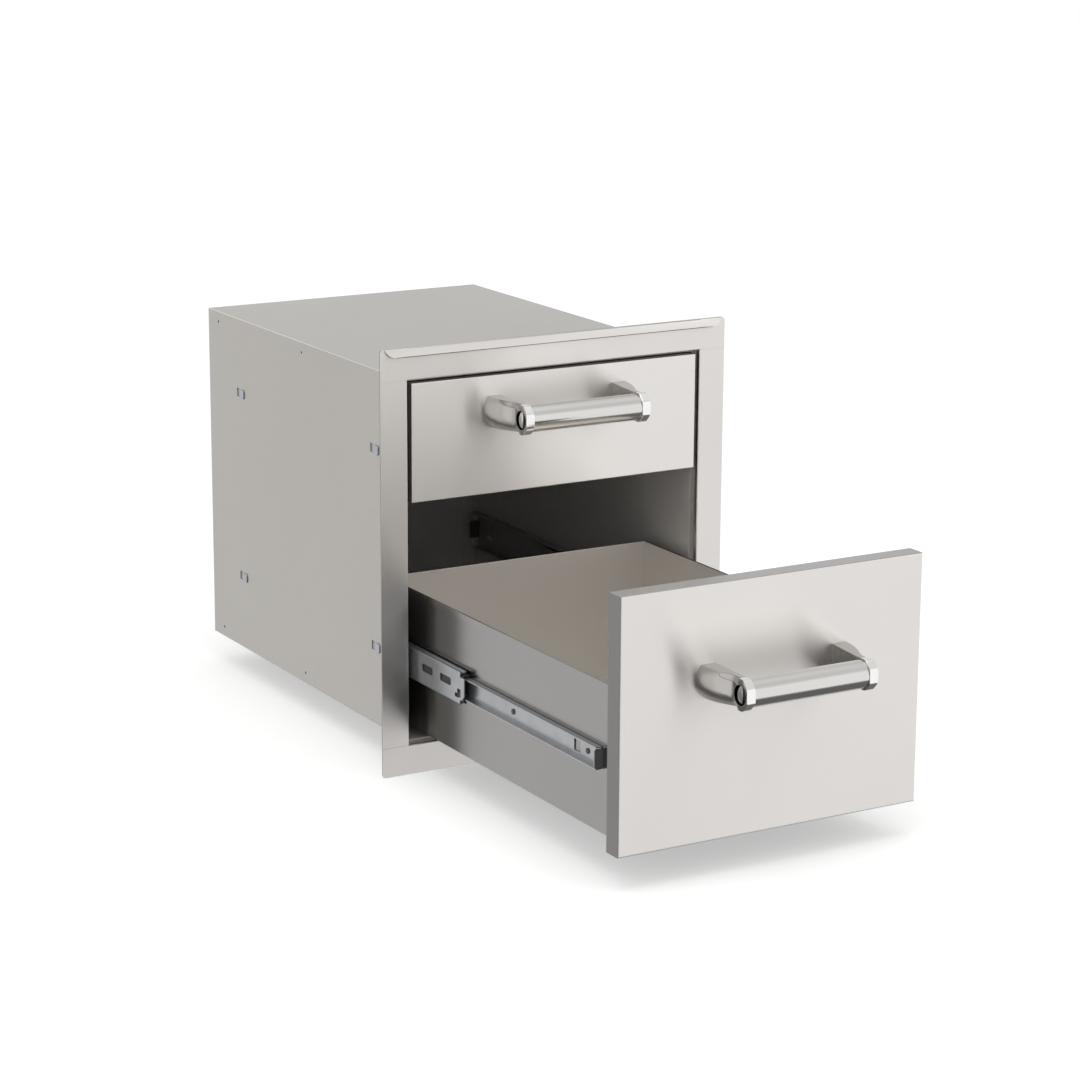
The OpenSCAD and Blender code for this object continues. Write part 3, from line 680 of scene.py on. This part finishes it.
# Slides
# A slot is given as start and end along the rail, bottom and top from its middle, corner radius
slide = {
    "sheet": 1.2,
    "inside": 179.2,          # the cabinet's inner face
    "space": 13,
    "edge": 0.15,
    "cabinetRail": {"low": 48.5, "high": 498.5, "half": 22.15, "tip": 10.0, "lip": 20.35, "web": 0.6,
                    "bend": 0.8, "holes": (120, 232, 344, 400, 456), "holeRadius": 2.3, "holeRise": 3,
                    "slot": (462, 476, -9, -4, 2)},
    "middleRail": {"low": 58.7, "high": 480, "half": 17.15, "web": 3.6, "tip": 11.1, "ball": 6.9,
                   "flat": 1.6, "slope": 0.7, "deep": 1.0, "bend": 0.65, "nose": 8.7, "shut": 50,
                   # what the nose leaves out: from and to across the slide, then bottom and top
                   "trims": ((4.3, 13, -20, 20), (2, 13, 12.35, 20), (2, 13, -20, -12.35)),
                   "lowerCorner": 5, "upperCorner": 1.5,
                   # from the nose's end: two long slots, and the notch in two cuts
                   "slots": ((29, 53, -2.2, 6.3, 2.2), (69.5, 93.5, -2.2, 6.3, 2.2),
                             (7.5, 15, -10, -1, 1), (11, 20, -11, -6.5, 1))},
    "drawerRail": {"low": 48.5, "high": 494.5, "half": 11.15, "tip": 5.5, "bend": 0.9, "shut": 47.3,
                   "window": (88, 100.4, -6, 6, 0.6)},
    "endTab": {"near": 3.2, "far": 13, "low": 47.3, "high": 48.5, "half": 10.2, "corner": 1.6},
    "hook": {"inner": 180.2, "outer": 181.4, "front": 15.6, "rear": 4.6, "below": 6.25, "above": 4.5,
             "round": 2.6, "places": (86.5, 430.5)},
}


# A point of the slide's section: s counts from the cabinet's side towards the drawer
def onRight(s):
    return slide["inside"] - s


def cutCorners(piece, radius):
    editing(piece)
    pick(piece, "EDGE", lambda middle, length: abs(length.x) > 0.99 * length.length)
    bpy.ops.mesh.bevel(offset=radius * mm, segments=4, affect="EDGES")
    stopEditing()


def cutSlot(rail, near, far, start, centre, slot):
    y0, y1, z0, z1, radius = slot
    cutter = block("slotCutter", (onRight(far), start + y0, centre + z0),
                   (onRight(near), start + y1, centre + z1))
    cutCorners(cutter, radius)
    cutAway(rail, cutter)


def makeCabinetRail(centre):
    size = slide["cabinetRail"]
    half, tip, lip, web = size["half"], size["tip"], size["lip"], size["web"]
    line = [(onRight(tip), lip), (onRight(tip), half), (onRight(web), half),
            (onRight(web), -half), (onRight(tip), -half), (onRight(tip), -lip)]
    rail = bentStrip("cabinetRail", [(x, z + centre) for x, z in line], "y", size["low"], size["high"],
                     slide["sheet"], size["bend"])
    for y in size["holes"]:
        middle = (onRight(0), y, centre + size["holeRise"])
        cutAway(rail, rod("railHole", middle, size["holeRadius"], 8))
    cutSlot(rail, -1, 3, 0, centre, size["slot"])
    return rail


def makeMiddleRail(centre):
    size = slide["middleRail"]
    half, ball = size["half"], size["ball"]
    top = [(size["tip"], half), (ball + size["flat"] + size["slope"], half),
           (ball + size["flat"], half - size["deep"]), (ball - size["flat"], half - size["deep"]),
           (ball - size["flat"] - size["slope"], half), (size["web"], half)]
    line = top + [(s, -z) for s, z in reversed(top)]
    front = size["low"] - size["nose"]
    rail = bentStrip("middleRail", [(onRight(s), z + centre) for s, z in line], "y",
                     front, size["high"], slide["sheet"], size["bend"])
    for s0, s1, z0, z1 in size["trims"]:
        spare = block("spare", (onRight(s1), front - 1, centre + z0),
                      (onRight(s0), size["low"], centre + z1))
        cutAway(rail, spare)
    for corner, cut in ((-1, size["lowerCorner"]), (1, size["upperCorner"])):
        editing(rail)
        pick(rail, "EDGE", lambda m, run: (abs(run.x) > 0.9 and abs(m.y - front) < 0.1
                                           and (m.z - centre) * corner > 6))
        bpy.ops.mesh.bevel(offset=cut * mm, segments=1, affect="EDGES")
        stopEditing()
    for slot in size["slots"]:
        cutSlot(rail, 2, 6, front, centre, slot)
    return rail


def makeDrawerRail(centre):
    size = slide["drawerRail"]
    half = size["half"]
    web = slide["space"] - slide["sheet"] / 2
    line = [(size["tip"], half), (web, half), (web, -half), (size["tip"], -half)]
    rail = bentStrip("drawerRail", [(onRight(s), z + centre) for s, z in line], "y",
                     size["low"], size["high"], slide["sheet"], size["bend"])
    cutSlot(rail, 10, 15, 0, centre, size["window"])
    return rail


def makeEndTab(centre):
    size = slide["endTab"]
    tab = block("endTab", (onRight(size["far"]), size["low"], centre - size["half"]),
                (onRight(size["near"]), size["high"], centre + size["half"]))
    editing(tab)
    pick(tab, "EDGE", lambda m, run: abs(run.y) > 1)
    bpy.ops.mesh.bevel(offset=size["corner"] * mm, segments=1, affect="EDGES")
    stopEditing()
    softenRims(tab, 0.3)
    return tab


# The tab of a hook, outside the cabinet's slot
def makeHook(centre, y):
    size = slide["hook"]
    hook = block("hook", (size["inner"], y - size["front"], centre - size["below"]),
                 (size["outer"], y - size["rear"], centre + size["above"]))
    cutCorners(hook, size["round"])
    softenRims(hook, 0.3)
    return hook


def makeSlides(which):
    # how far the drawer rails and the middle rails are from shut
    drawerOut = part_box(f"{which}_left_drawer_rail")[0].y / mm - slide["drawerRail"]["shut"]
    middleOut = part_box(f"{which}_right_middle_rail")[0].y / mm - slide["middleRail"]["shut"]
    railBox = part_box(f"{which}_right_cabinet_rail")
    centre = (railBox[0].z + railBox[1].z) / 2 / mm
    jobs = (
        # painted light on the cabinet rails
        (makeCabinetRail, "cabinet_rail", "CabinetRail", 0, "litZincInside"),
        (makeMiddleRail, "middle_rail", "MiddleRail", middleOut, "zincPlate"),
        (makeDrawerRail, "drawer_rail", "DrawerRail", drawerOut, "zincPlate"),
    )
    for make, nodeEnd, nameEnd, out, finish in jobs:
        master = make(centre)
        softenRims(master, slide["edge"])
        for side in sides:
            piece = copyPiece(master, f"{which}{side.title()}{nameEnd}", side == "left", (0, out, 0))
            fit(piece, f"{which}_{side}_{nodeEnd}", finishes[finish])
        bpy.data.objects.remove(master)
    tab = makeEndTab(centre)
    for side in sides:
        piece = copyPiece(tab, f"{which}{side.title()}EndTab", side == "left", (0, drawerOut, 0))
        fit(piece, f"{which}_{side}_drawer_rail", finishes["zincPlate"], replace=False)
    bpy.data.objects.remove(tab)
    for number, y in enumerate(slide["hook"]["places"]):
        hook = makeHook(centre, y)
        for side in sides:
            piece = copyPiece(hook, f"{which}{side.title()}Hook{number}", side == "left")
            fit(piece, f"{which}_{side}_cabinet_rail", finishes["zincBright"], replace=False)
        bpy.data.objects.remove(hook)
    dressSolid(f"{which}_outer_cages", finishes["zincPlate"])
    dressSolid(f"{which}_inner_cages", finishes["cagePlastic"])
    for balls in ("outer_balls", "inner_balls"):
        dressSolid(f"{which}_{balls}", finishes["polishedChrome"])
        for face in frame["nodes"][f"{which}_{balls}"].data.polygons:
            face.use_smooth = True
    # painted shade on the rivets
    dressSolid(f"{which}_rail_rivets", finishes["shadedRivet"])


for which in drawers:
    makeSlides(which)
dressSolid("rail_rear_stops", finishes["bumperRubber"])
print("slides are made")

# Handles
handle = {
    "bar": {"radius": 14.5, "wall": 1.5, "half": 67},
    "arm": {"footInner": 69, "footOuter": 91, "noseInner": 67, "noseOuter": 77, "footHalf": 17.5,
            "noseHalf": 16, "reach": 44, "curve": 1.7, "ease": 0.15, "rings": 24, "edge": 0.8},
    # how far the outer side draws in above and below its fullest height
    "side": {"full": 3, "points": 18, "drop": 0.35, "footAbove": 5.5, "footBelow": 11,
             "noseAbove": 0.9, "noseBelow": 7.5, "powerAbove": 2.2, "powerBelow": 2.4, "flat": 1.2},
    "leaf": {"start": 27, "height": 5.6, "depth": 2.9, "end": 52, "seam": 0.2, "steps": 8},
    "collar": {"depth": 24, "reach": 68, "chamfer": 8.2, "round": 2.6, "edge": 0.8},
    # each ring of the plug: its width and height as shares of the dome's radius
    "plug": {"radius": 10, "sink": 2, "dome": 1.9, "lensRing": 3, "gap": 0.15, "rim": 0.4, "foot": 0.3,
             "rings": ((0.97, 0.97), (0.8, 0.96), (0.62, 0.95), (0.45, 0.94), (0.43, 0.9),
                       (0.36, 0.72), (0.24, 0.48), (0.12, 0.24))},
}


def makeBar(y, z):
    size = handle["bar"]
    bar = rod("bar", (0, y, z), size["radius"], 2 * size["half"], sides=96)
    editing(bar, "FACE")
    pick(bar, "FACE", lambda m, normal: abs(normal.x) > 0.9)
    bpy.ops.mesh.inset(thickness=size["wall"] * mm)
    bpy.ops.mesh.delete(type="FACE")
    bpy.ops.mesh.select_mode(type="EDGE")
    bpy.ops.mesh.select_all(action="DESELECT")
    shape = bmesh.from_edit_mesh(bar.data)
    for edge in shape.edges:
        edge.select_set(edge.is_boundary)
    bmesh.update_edit_mesh(bar.data)
    bpy.ops.mesh.bridge_edge_loops()
    bpy.ops.mesh.select_all(action="SELECT")
    bpy.ops.mesh.normals_make_consistent(inside=False)
    stopEditing()
    softenRims(bar, 0.4)
    return bar


# How far out the full outer side stands at a height
def sideAt(z, outer, half, above, below, flat):
    side = handle["side"]
    full = side["full"]
    if z > full:
        return outer - above * ((z - full) / (half - full)) ** (side["powerAbove"] + flat)
    return outer - below * ((full - z) / (half + full)) ** (side["powerBelow"] + flat)


# The section of an arm or collar: flat inside, full outside
def fullSection(inner, outer, half, above, below, flat):
    small, drop = handle["arm"]["edge"], handle["side"]["drop"]
    ring = [(inner, half - small), (inner + small * 0.3, half - small * 0.3), (inner + small, half)]
    ring += [(outer - above, half)]
    count = handle["side"]["points"]
    for i in range(count):
        z = half - drop - (2 * half - drop) * i / (count - 1)
        ring.append((sideAt(z, outer, half, above, below, flat), z))
    ring += [(inner + small, -half), (inner + small * 0.3, small * 0.3 - half), (inner, small - half)]
    return ring


# Draws out a bar of changing section from the drawer's face, ring by ring
def drawOut(name, face, z, rings):
    count = len(rings[0][1])
    bpy.ops.object.select_all(action="DESELECT")
    bpy.ops.mesh.primitive_circle_add(vertices=count, radius=10 * mm, fill_type="NGON")
    piece = bpy.context.active_object
    piece.name = piece.data.name = name
    bpy.ops.object.mode_set(mode="EDIT")
    bpy.ops.mesh.select_mode(type="FACE")
    lift = Vector((0, 0, mm))
    last = []
    for reach, section in rings:
        outline = [Vector((x, face - reach, z + dz)) * mm for x, dz in section]
        if last:
            bpy.ops.mesh.extrude_region_move(TRANSFORM_OT_translate={"value": lift})
        shape = bmesh.from_edit_mesh(piece.data)
        front = [f for f in shape.faces if f.select][0]
        for number, vert in enumerate(list(front.verts)):
            if last:
                number = min(range(count), key=lambda i: (last[i] + lift - vert.co).length)
            vert.co = outline[number]
            vert.select_set(True)
        bmesh.update_edit_mesh(piece.data)
        last = outline
    stopEditing()
    turnFacesOut(piece)
    return piece


# Size of the arm's or collar's section at a reach: inside, outside, half height, rounding above
# and below, and how much flatter than the foot its side is
def gripSection(reach):
    size, side = handle["arm"], handle["side"]
    share = min(1, reach / size["reach"])
    ease = size["ease"]
    drawn = (1 + ease) * share ** size["curve"] - ease * share ** (size["curve"] * (1 + ease) / ease)
    inner = size["footInner"] + (size["noseInner"] - size["footInner"]) * share
    outer = size["footOuter"] + (size["noseOuter"] - size["footOuter"]) * drawn
    half = size["footHalf"] + (size["noseHalf"] - size["footHalf"]) * share
    above = side["footAbove"] + (side["noseAbove"] - side["footAbove"]) * share ** 1.5
    below = side["footBelow"] + (side["noseBelow"] - side["footBelow"]) * share
    past = max(0, reach - size["reach"]) / (handle["leaf"]["end"] - size["reach"])
    below += (handle["collar"]["edge"] - below) * min(1, past) ** 0.7
    return inner, outer, half, above, below, side["flat"] * (share ** 2 + 2 * min(1, past))


# Cuts the leaf-shaped facet into the upper edge and paints a dark line of shade round it, as a narrow
# bevel
def cutLeaf(piece, face, z):
    leaf = handle["leaf"]
    run = Vector((leaf["depth"], -leaf["height"])).normalized() * 4
    rings = []
    for step in range(leaf["steps"] + 1):
        grown = step / leaf["steps"]
        reach = leaf["start"] + (leaf["end"] - leaf["start"]) * grown
        outer, half, above = gripSection(reach)[1:4]
        upper = Vector((outer - above - leaf["depth"] * grown, half))
        corners = (upper - run, upper + Vector((9, 9)), upper + run * 2.5)
        rings.append((reach, [tuple(corner) for corner in corners]))
    cutter = drawOut("leafCutter", face, z, rings)
    for owner in (piece, cutter):
        owner.data.materials.clear()
        owner.data.materials.append(finishes["satinCast"])
        owner.data.materials.append(finishes["paintedShadeLine"])
    for side in cutter.data.polygons:
        side.material_index = 1
    cutAway(piece, cutter)
    editing(piece, "FACE")
    shape = bmesh.from_edit_mesh(piece.data)
    for side in shape.faces:
        side.select_set(side.material_index == 1 and side.normal.x > 0.1)
        side.material_index = 0
    bmesh.update_edit_mesh(piece.data)
    bpy.ops.mesh.region_to_loop()
    shape = bmesh.from_edit_mesh(piece.data)
    joint = handle["arm"]["reach"]
    for edge in shape.edges:
        if edge.select and all(abs(face - v.co.y / mm - joint) < 0.02 for v in edge.verts):
            edge.select_set(False)
    bmesh.update_edit_mesh(piece.data)
    # the narrow bevel round the facet takes the painted shade line
    bpy.ops.mesh.bevel(offset=leaf["seam"] * mm, segments=1, affect="EDGES", material=1)
    stopEditing()


def makeArm(face, z):
    size = handle["arm"]
    rings = []
    for step in range(size["rings"] + 1):
        reach = size["reach"] * step / size["rings"]
        rings.append((reach, fullSection(*gripSection(reach))))
    arm = drawOut("arm", face, z, rings)
    cutLeaf(arm, face, z)
    softenRims(arm, 0.2, limit=40, smooth=24)
    # painted shade on the inner face, which looks towards the other arm
    paint(arm, "shadedCastInside", lambda m, n: n.x < -0.8)
    return arm


# The collar's height along its reach: level, then the two rounded corners of its chamfer
def collarProfile():
    size = handle["collar"]
    high = handle["arm"]["noseHalf"]
    shoulder = Vector((size["reach"] - size["chamfer"], high))
    tip = Vector((size["reach"], high - size["chamfer"]))
    slope = (tip - shoulder).normalized()
    bends = ((Vector((1, 0)), shoulder, slope), (slope, tip, Vector((0, -1))))
    spots = []
    for arrive, corner, leave in bends:
        start, end = corner - arrive * size["round"], corner + leave * size["round"]
        for i in range(6):
            share = i / 5
            spots.append(start.lerp(corner, share).lerp(corner.lerp(end, share), share))
    return spots


def makeCollar(face, z):
    arm, side, leaf, size = handle["arm"], handle["side"], handle["leaf"], handle["collar"]
    rings = []
    for step in range(leaf["steps"] + 1):
        reach = arm["reach"] + (leaf["end"] - arm["reach"]) * step / leaf["steps"]
        rings.append((reach, fullSection(*gripSection(reach))))
    for spot in collarProfile():
        section = fullSection(arm["noseInner"], arm["noseOuter"], spot.y, size["edge"], size["edge"],
                              3 * side["flat"])
        rings.append((spot.x, section))
    collar = drawOut("collar", face, z, rings)
    cutLeaf(collar, face, z)
    plug = handle["plug"]
    middle = (arm["noseOuter"] - plug["sink"] / 2 + 1, face - size["reach"] + size["depth"] / 2, z)
    cutAway(collar, rod("socket", middle, plug["radius"] + plug["gap"], plug["sink"] + 2, sides=72))
    softenRims(collar, 0.35, steps=3, limit=50, smooth=24)
    centre = Vector((0, face - size["reach"] + size["depth"] / 2, z))
    collar.data.materials.append(finishes["polishedChrome"])
    chrome = len(collar.data.materials) - 1
    for part in collar.data.polygons:
        past = face - part.center.y / mm > leaf["end"]
        if part.material_index == 0 and abs(part.normal.x) < 0.75 and past:
            part.material_index = chrome
    low, high, wide = arm["noseInner"] + 2, arm["noseOuter"] - 0.1, plug["radius"] + plug["rim"]
    # painted shade: the socket's wall and floor are near black
    paint(collar, "paintedShadeAndReflection", lambda m, n: (low < m.x < high
                                              and ((m - centre) * Vector((0, 1, 1))).length < wide))
    return collar


# A domed mirror button that lies in the collar's socket, with a bright lens between dark crescents;
# the crescents are painted dark reflections
def makePlug(face, z):
    size = handle["plug"]
    collar = handle["collar"]
    bottom = handle["arm"]["noseOuter"] - size["sink"]
    y = face - collar["reach"] + collar["depth"] / 2
    plug = rod("plug", (bottom + size["foot"] / 2, y, z), size["radius"], size["foot"], sides=96)
    editing(plug, "FACE")
    pick(plug, "FACE", lambda m, normal: normal.x > 0.9)
    radius = size["radius"] - size["rim"]
    for wide, tall in size["rings"]:
        bpy.ops.mesh.inset(thickness=0.2 * mm)
        shape = bmesh.from_edit_mesh(plug.data)
        front = [f for f in shape.faces if f.select][0]
        for vert in front.verts:
            around = math.atan2(vert.co.z / mm - z, vert.co.y / mm - y)
            out = Vector((0, wide * math.cos(around), tall * math.sin(around)))
            climb = size["dome"] * (1 - out.length_squared)
            vert.co = Vector((bottom + size["foot"] + climb, y, z)) * mm + out * radius * mm
        bmesh.update_edit_mesh(plug.data)
    stopEditing()
    softenRims(plug, 0.1)
    lens = size["rings"][size["lensRing"]]
    plug.data.materials.append(finishes["polishedChrome"])
    # painted reflection: the ring outside the lens, which reads as two dark crescents
    paint(plug, "paintedShadeAndReflection",
          lambda m, n: ((m.y - y) / lens[0]) ** 2 + ((m.z - z) / lens[1]) ** 2 > radius ** 2)
    return plug


def makeHandle(which):
    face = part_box(f"{which}_front_skin")[0].y / mm
    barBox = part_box(f"{which}_handle_bar")
    centre = (barBox[0] + barBox[1]) / 2 / mm
    bar = makeBar(centre.y, centre.z)
    bar.name = f"{which}HandleBar"
    fit(bar, f"{which}_handle_bar", finishes["brushedBar"])
    for part, make in (("arm", makeArm), ("collar", makeCollar)):
        master = make(face, centre.z)
        for side in sides:
            piece = copyPiece(master, f"{which}{side.title()}Handle{part.title()}", side == "left")
            fit(piece, f"{which}_handle_{side}_{part}", finishes["satinCast"])
        bpy.data.objects.remove(master)
    plug = makePlug(face, centre.z)
    left = copyPiece(plug, f"{which}LeftPlug", True)
    fit(left, f"{which}_handle_plugs", finishes["polishedChrome"])
    right = copyPiece(plug, f"{which}RightPlug")
    fit(right, f"{which}_handle_plugs", finishes["polishedChrome"], replace=False)
    bpy.data.objects.remove(plug)
    dressSolid(f"{which}_handle_screws", finishes["fastenerSteel"])


for which in drawers:
    makeHandle(which)
print("handles are made")

# Studio: pale floor, soft light, white background; in metres
studio = {
    "floorSize": 14,
    "floorColour": (0.86, 0.86, 0.855),
    "floorGlow": 0.40,
    "fill": 0.72,
    # what the metal sees, from straight down (0) to straight up (1); 1 is white
    "levels": ((0.0, 0.15), (0.17, 0.15), (0.225, 0.32), (0.25, 1.0), (0.62, 1.0), (0.72, 1.0),
               (0.79, 0.74), (0.88, 0.70), (1.0, 1.0)),
    "darkRoom": {"azimuth": -33, "distance": 1.5, "centre": -0.25, "width": 0.95, "low": -1.2,
                 "high": 0.5, "grey": 0.13},
    "softbox": {"place": (-0.3, -0.5, 2.0), "size": (2.0, 1.5), "power": 12},
}


# 1 where the eye, a reflection or glass sees a thing, and 0 where only its light arrives
def seenRays(tree):
    ray = addNode(tree, "ShaderNodeLightPath")
    seen = ray.outputs["Is Camera Ray"]
    for kind in ("Is Glossy Ray", "Is Transmission Ray"):
        both = addNode(tree, "ShaderNodeMath", operation="ADD", use_clamp=True)
        tree.links.new(seen, both.inputs[0])
        tree.links.new(ray.outputs[kind], both.inputs[1])
        seen = both.outputs[0]
    return seen


def makeFloor():
    bpy.ops.object.select_all(action="DESELECT")
    bpy.ops.mesh.primitive_plane_add(size=studio["floorSize"], location=(0, 0, 0))
    floor = bpy.context.active_object
    floor.name = "paleFloor"
    finish, tree, shader, where = newFinish("paleFloor")
    cloud = addNode(tree, "ShaderNodeGroup", node_tree=mottle)
    cloud.inputs["Grain"].default_value = 60
    cloud.inputs["Cloud"].default_value = 2
    tree.links.new(where.outputs["Object"], cloud.inputs["Position"])
    light = studio["floorColour"]
    dark = [c - 0.006 for c in light]
    tree.links.new(blendColour(tree, cloud.outputs["Cloud"], dark, light), shader.inputs["Base Color"])
    shader.inputs["Roughness"].default_value = 0.9
    shader.inputs["Specular IOR Level"].default_value = 0.1
    glow = addNode(tree, "ShaderNodeMath", operation="MULTIPLY")
    glow.inputs[1].default_value = studio["floorGlow"]
    tree.links.new(seenRays(tree), glow.inputs[0])
    tree.links.new(glow.outputs[0], shader.inputs["Emission Strength"])
    shader.inputs["Emission Color"].default_value = (1, 1, 1, 1)
    floor.data.materials.append(finish)
    floor.visible_glossy = False


# A darker part of the room at the viewer's left, which only the metal's reflections show
def makeDarkRoom():
    size = studio["darkRoom"]
    turn = math.radians(size["azimuth"])
    place = Vector((math.sin(turn), -math.cos(turn), 0)) * size["distance"]
    place += Vector((0, size["centre"], (size["low"] + size["high"]) / 2))
    bpy.ops.object.select_all(action="DESELECT")
    bpy.ops.mesh.primitive_plane_add(size=1, location=place, rotation=(math.pi / 2, 0, turn))
    screen = bpy.context.active_object
    screen.name = "darkRoom"
    screen.scale = (size["width"], size["high"] - size["low"], 1)
    placeMesh(screen)
    finish, _, shader, _ = newFinish("darkRoom")
    shader.inputs["Base Color"].default_value = (size["grey"], size["grey"], size["grey"], 1)
    shader.inputs["Roughness"].default_value = 0.9
    screen.data.materials.append(finish)
    screen.visible_camera = screen.visible_diffuse = screen.visible_shadow = False
    screen.visible_transmission = False


def makeWorld():
    world = bpy.data.worlds.new("softStudio")
    bpy.context.scene.world = world
    world.use_nodes = True
    tree = world.node_tree
    tree.nodes.clear()
    out = addNode(tree, "ShaderNodeOutputWorld")
    fill = addNode(tree, "ShaderNodeBackground")
    fill.inputs["Color"].default_value = (1, 1, 0.995, 1)
    fill.inputs["Strength"].default_value = studio["fill"]
    seen = addNode(tree, "ShaderNodeBackground")
    where = addNode(tree, "ShaderNodeTexCoord")
    split = addNode(tree, "ShaderNodeSeparateXYZ")
    tree.links.new(where.outputs["Generated"], split.inputs[0])
    height = addNode(tree, "ShaderNodeMapRange")
    height.inputs["From Min"].default_value = -1
    tree.links.new(split.outputs["Z"], height.inputs["Value"])
    ramp = addNode(tree, "ShaderNodeValToRGB")
    while len(ramp.color_ramp.elements) < len(studio["levels"]):
        ramp.color_ramp.elements.new(0.5)
    for element, (place, level) in zip(ramp.color_ramp.elements, studio["levels"]):
        element.position = place
        element.color = (level, level, level, 1)
    tree.links.new(height.outputs["Result"], ramp.inputs["Fac"])
    tree.links.new(ramp.outputs["Color"], seen.inputs["Color"])
    mix = addNode(tree, "ShaderNodeMixShader")
    tree.links.new(seenRays(tree), mix.inputs[0])
    tree.links.new(fill.outputs[0], mix.inputs[1])
    tree.links.new(seen.outputs[0], mix.inputs[2])
    tree.links.new(mix.outputs[0], out.inputs["Surface"])


def makeLamps():
    box = studio["softbox"]
    bpy.ops.object.select_all(action="DESELECT")
    bpy.ops.object.light_add(type="AREA", location=box["place"])
    lamp = bpy.context.active_object
    lamp.name = "overheadSoftbox"
    lamp.data.shape = "RECTANGLE"
    lamp.data.size, lamp.data.size_y = box["size"]
    lamp.data.energy = box["power"]


makeFloor()
makeDarkRoom()
makeWorld()
makeLamps()
bpy.context.scene.view_settings.view_transform = "Standard"
print("studio is lit")
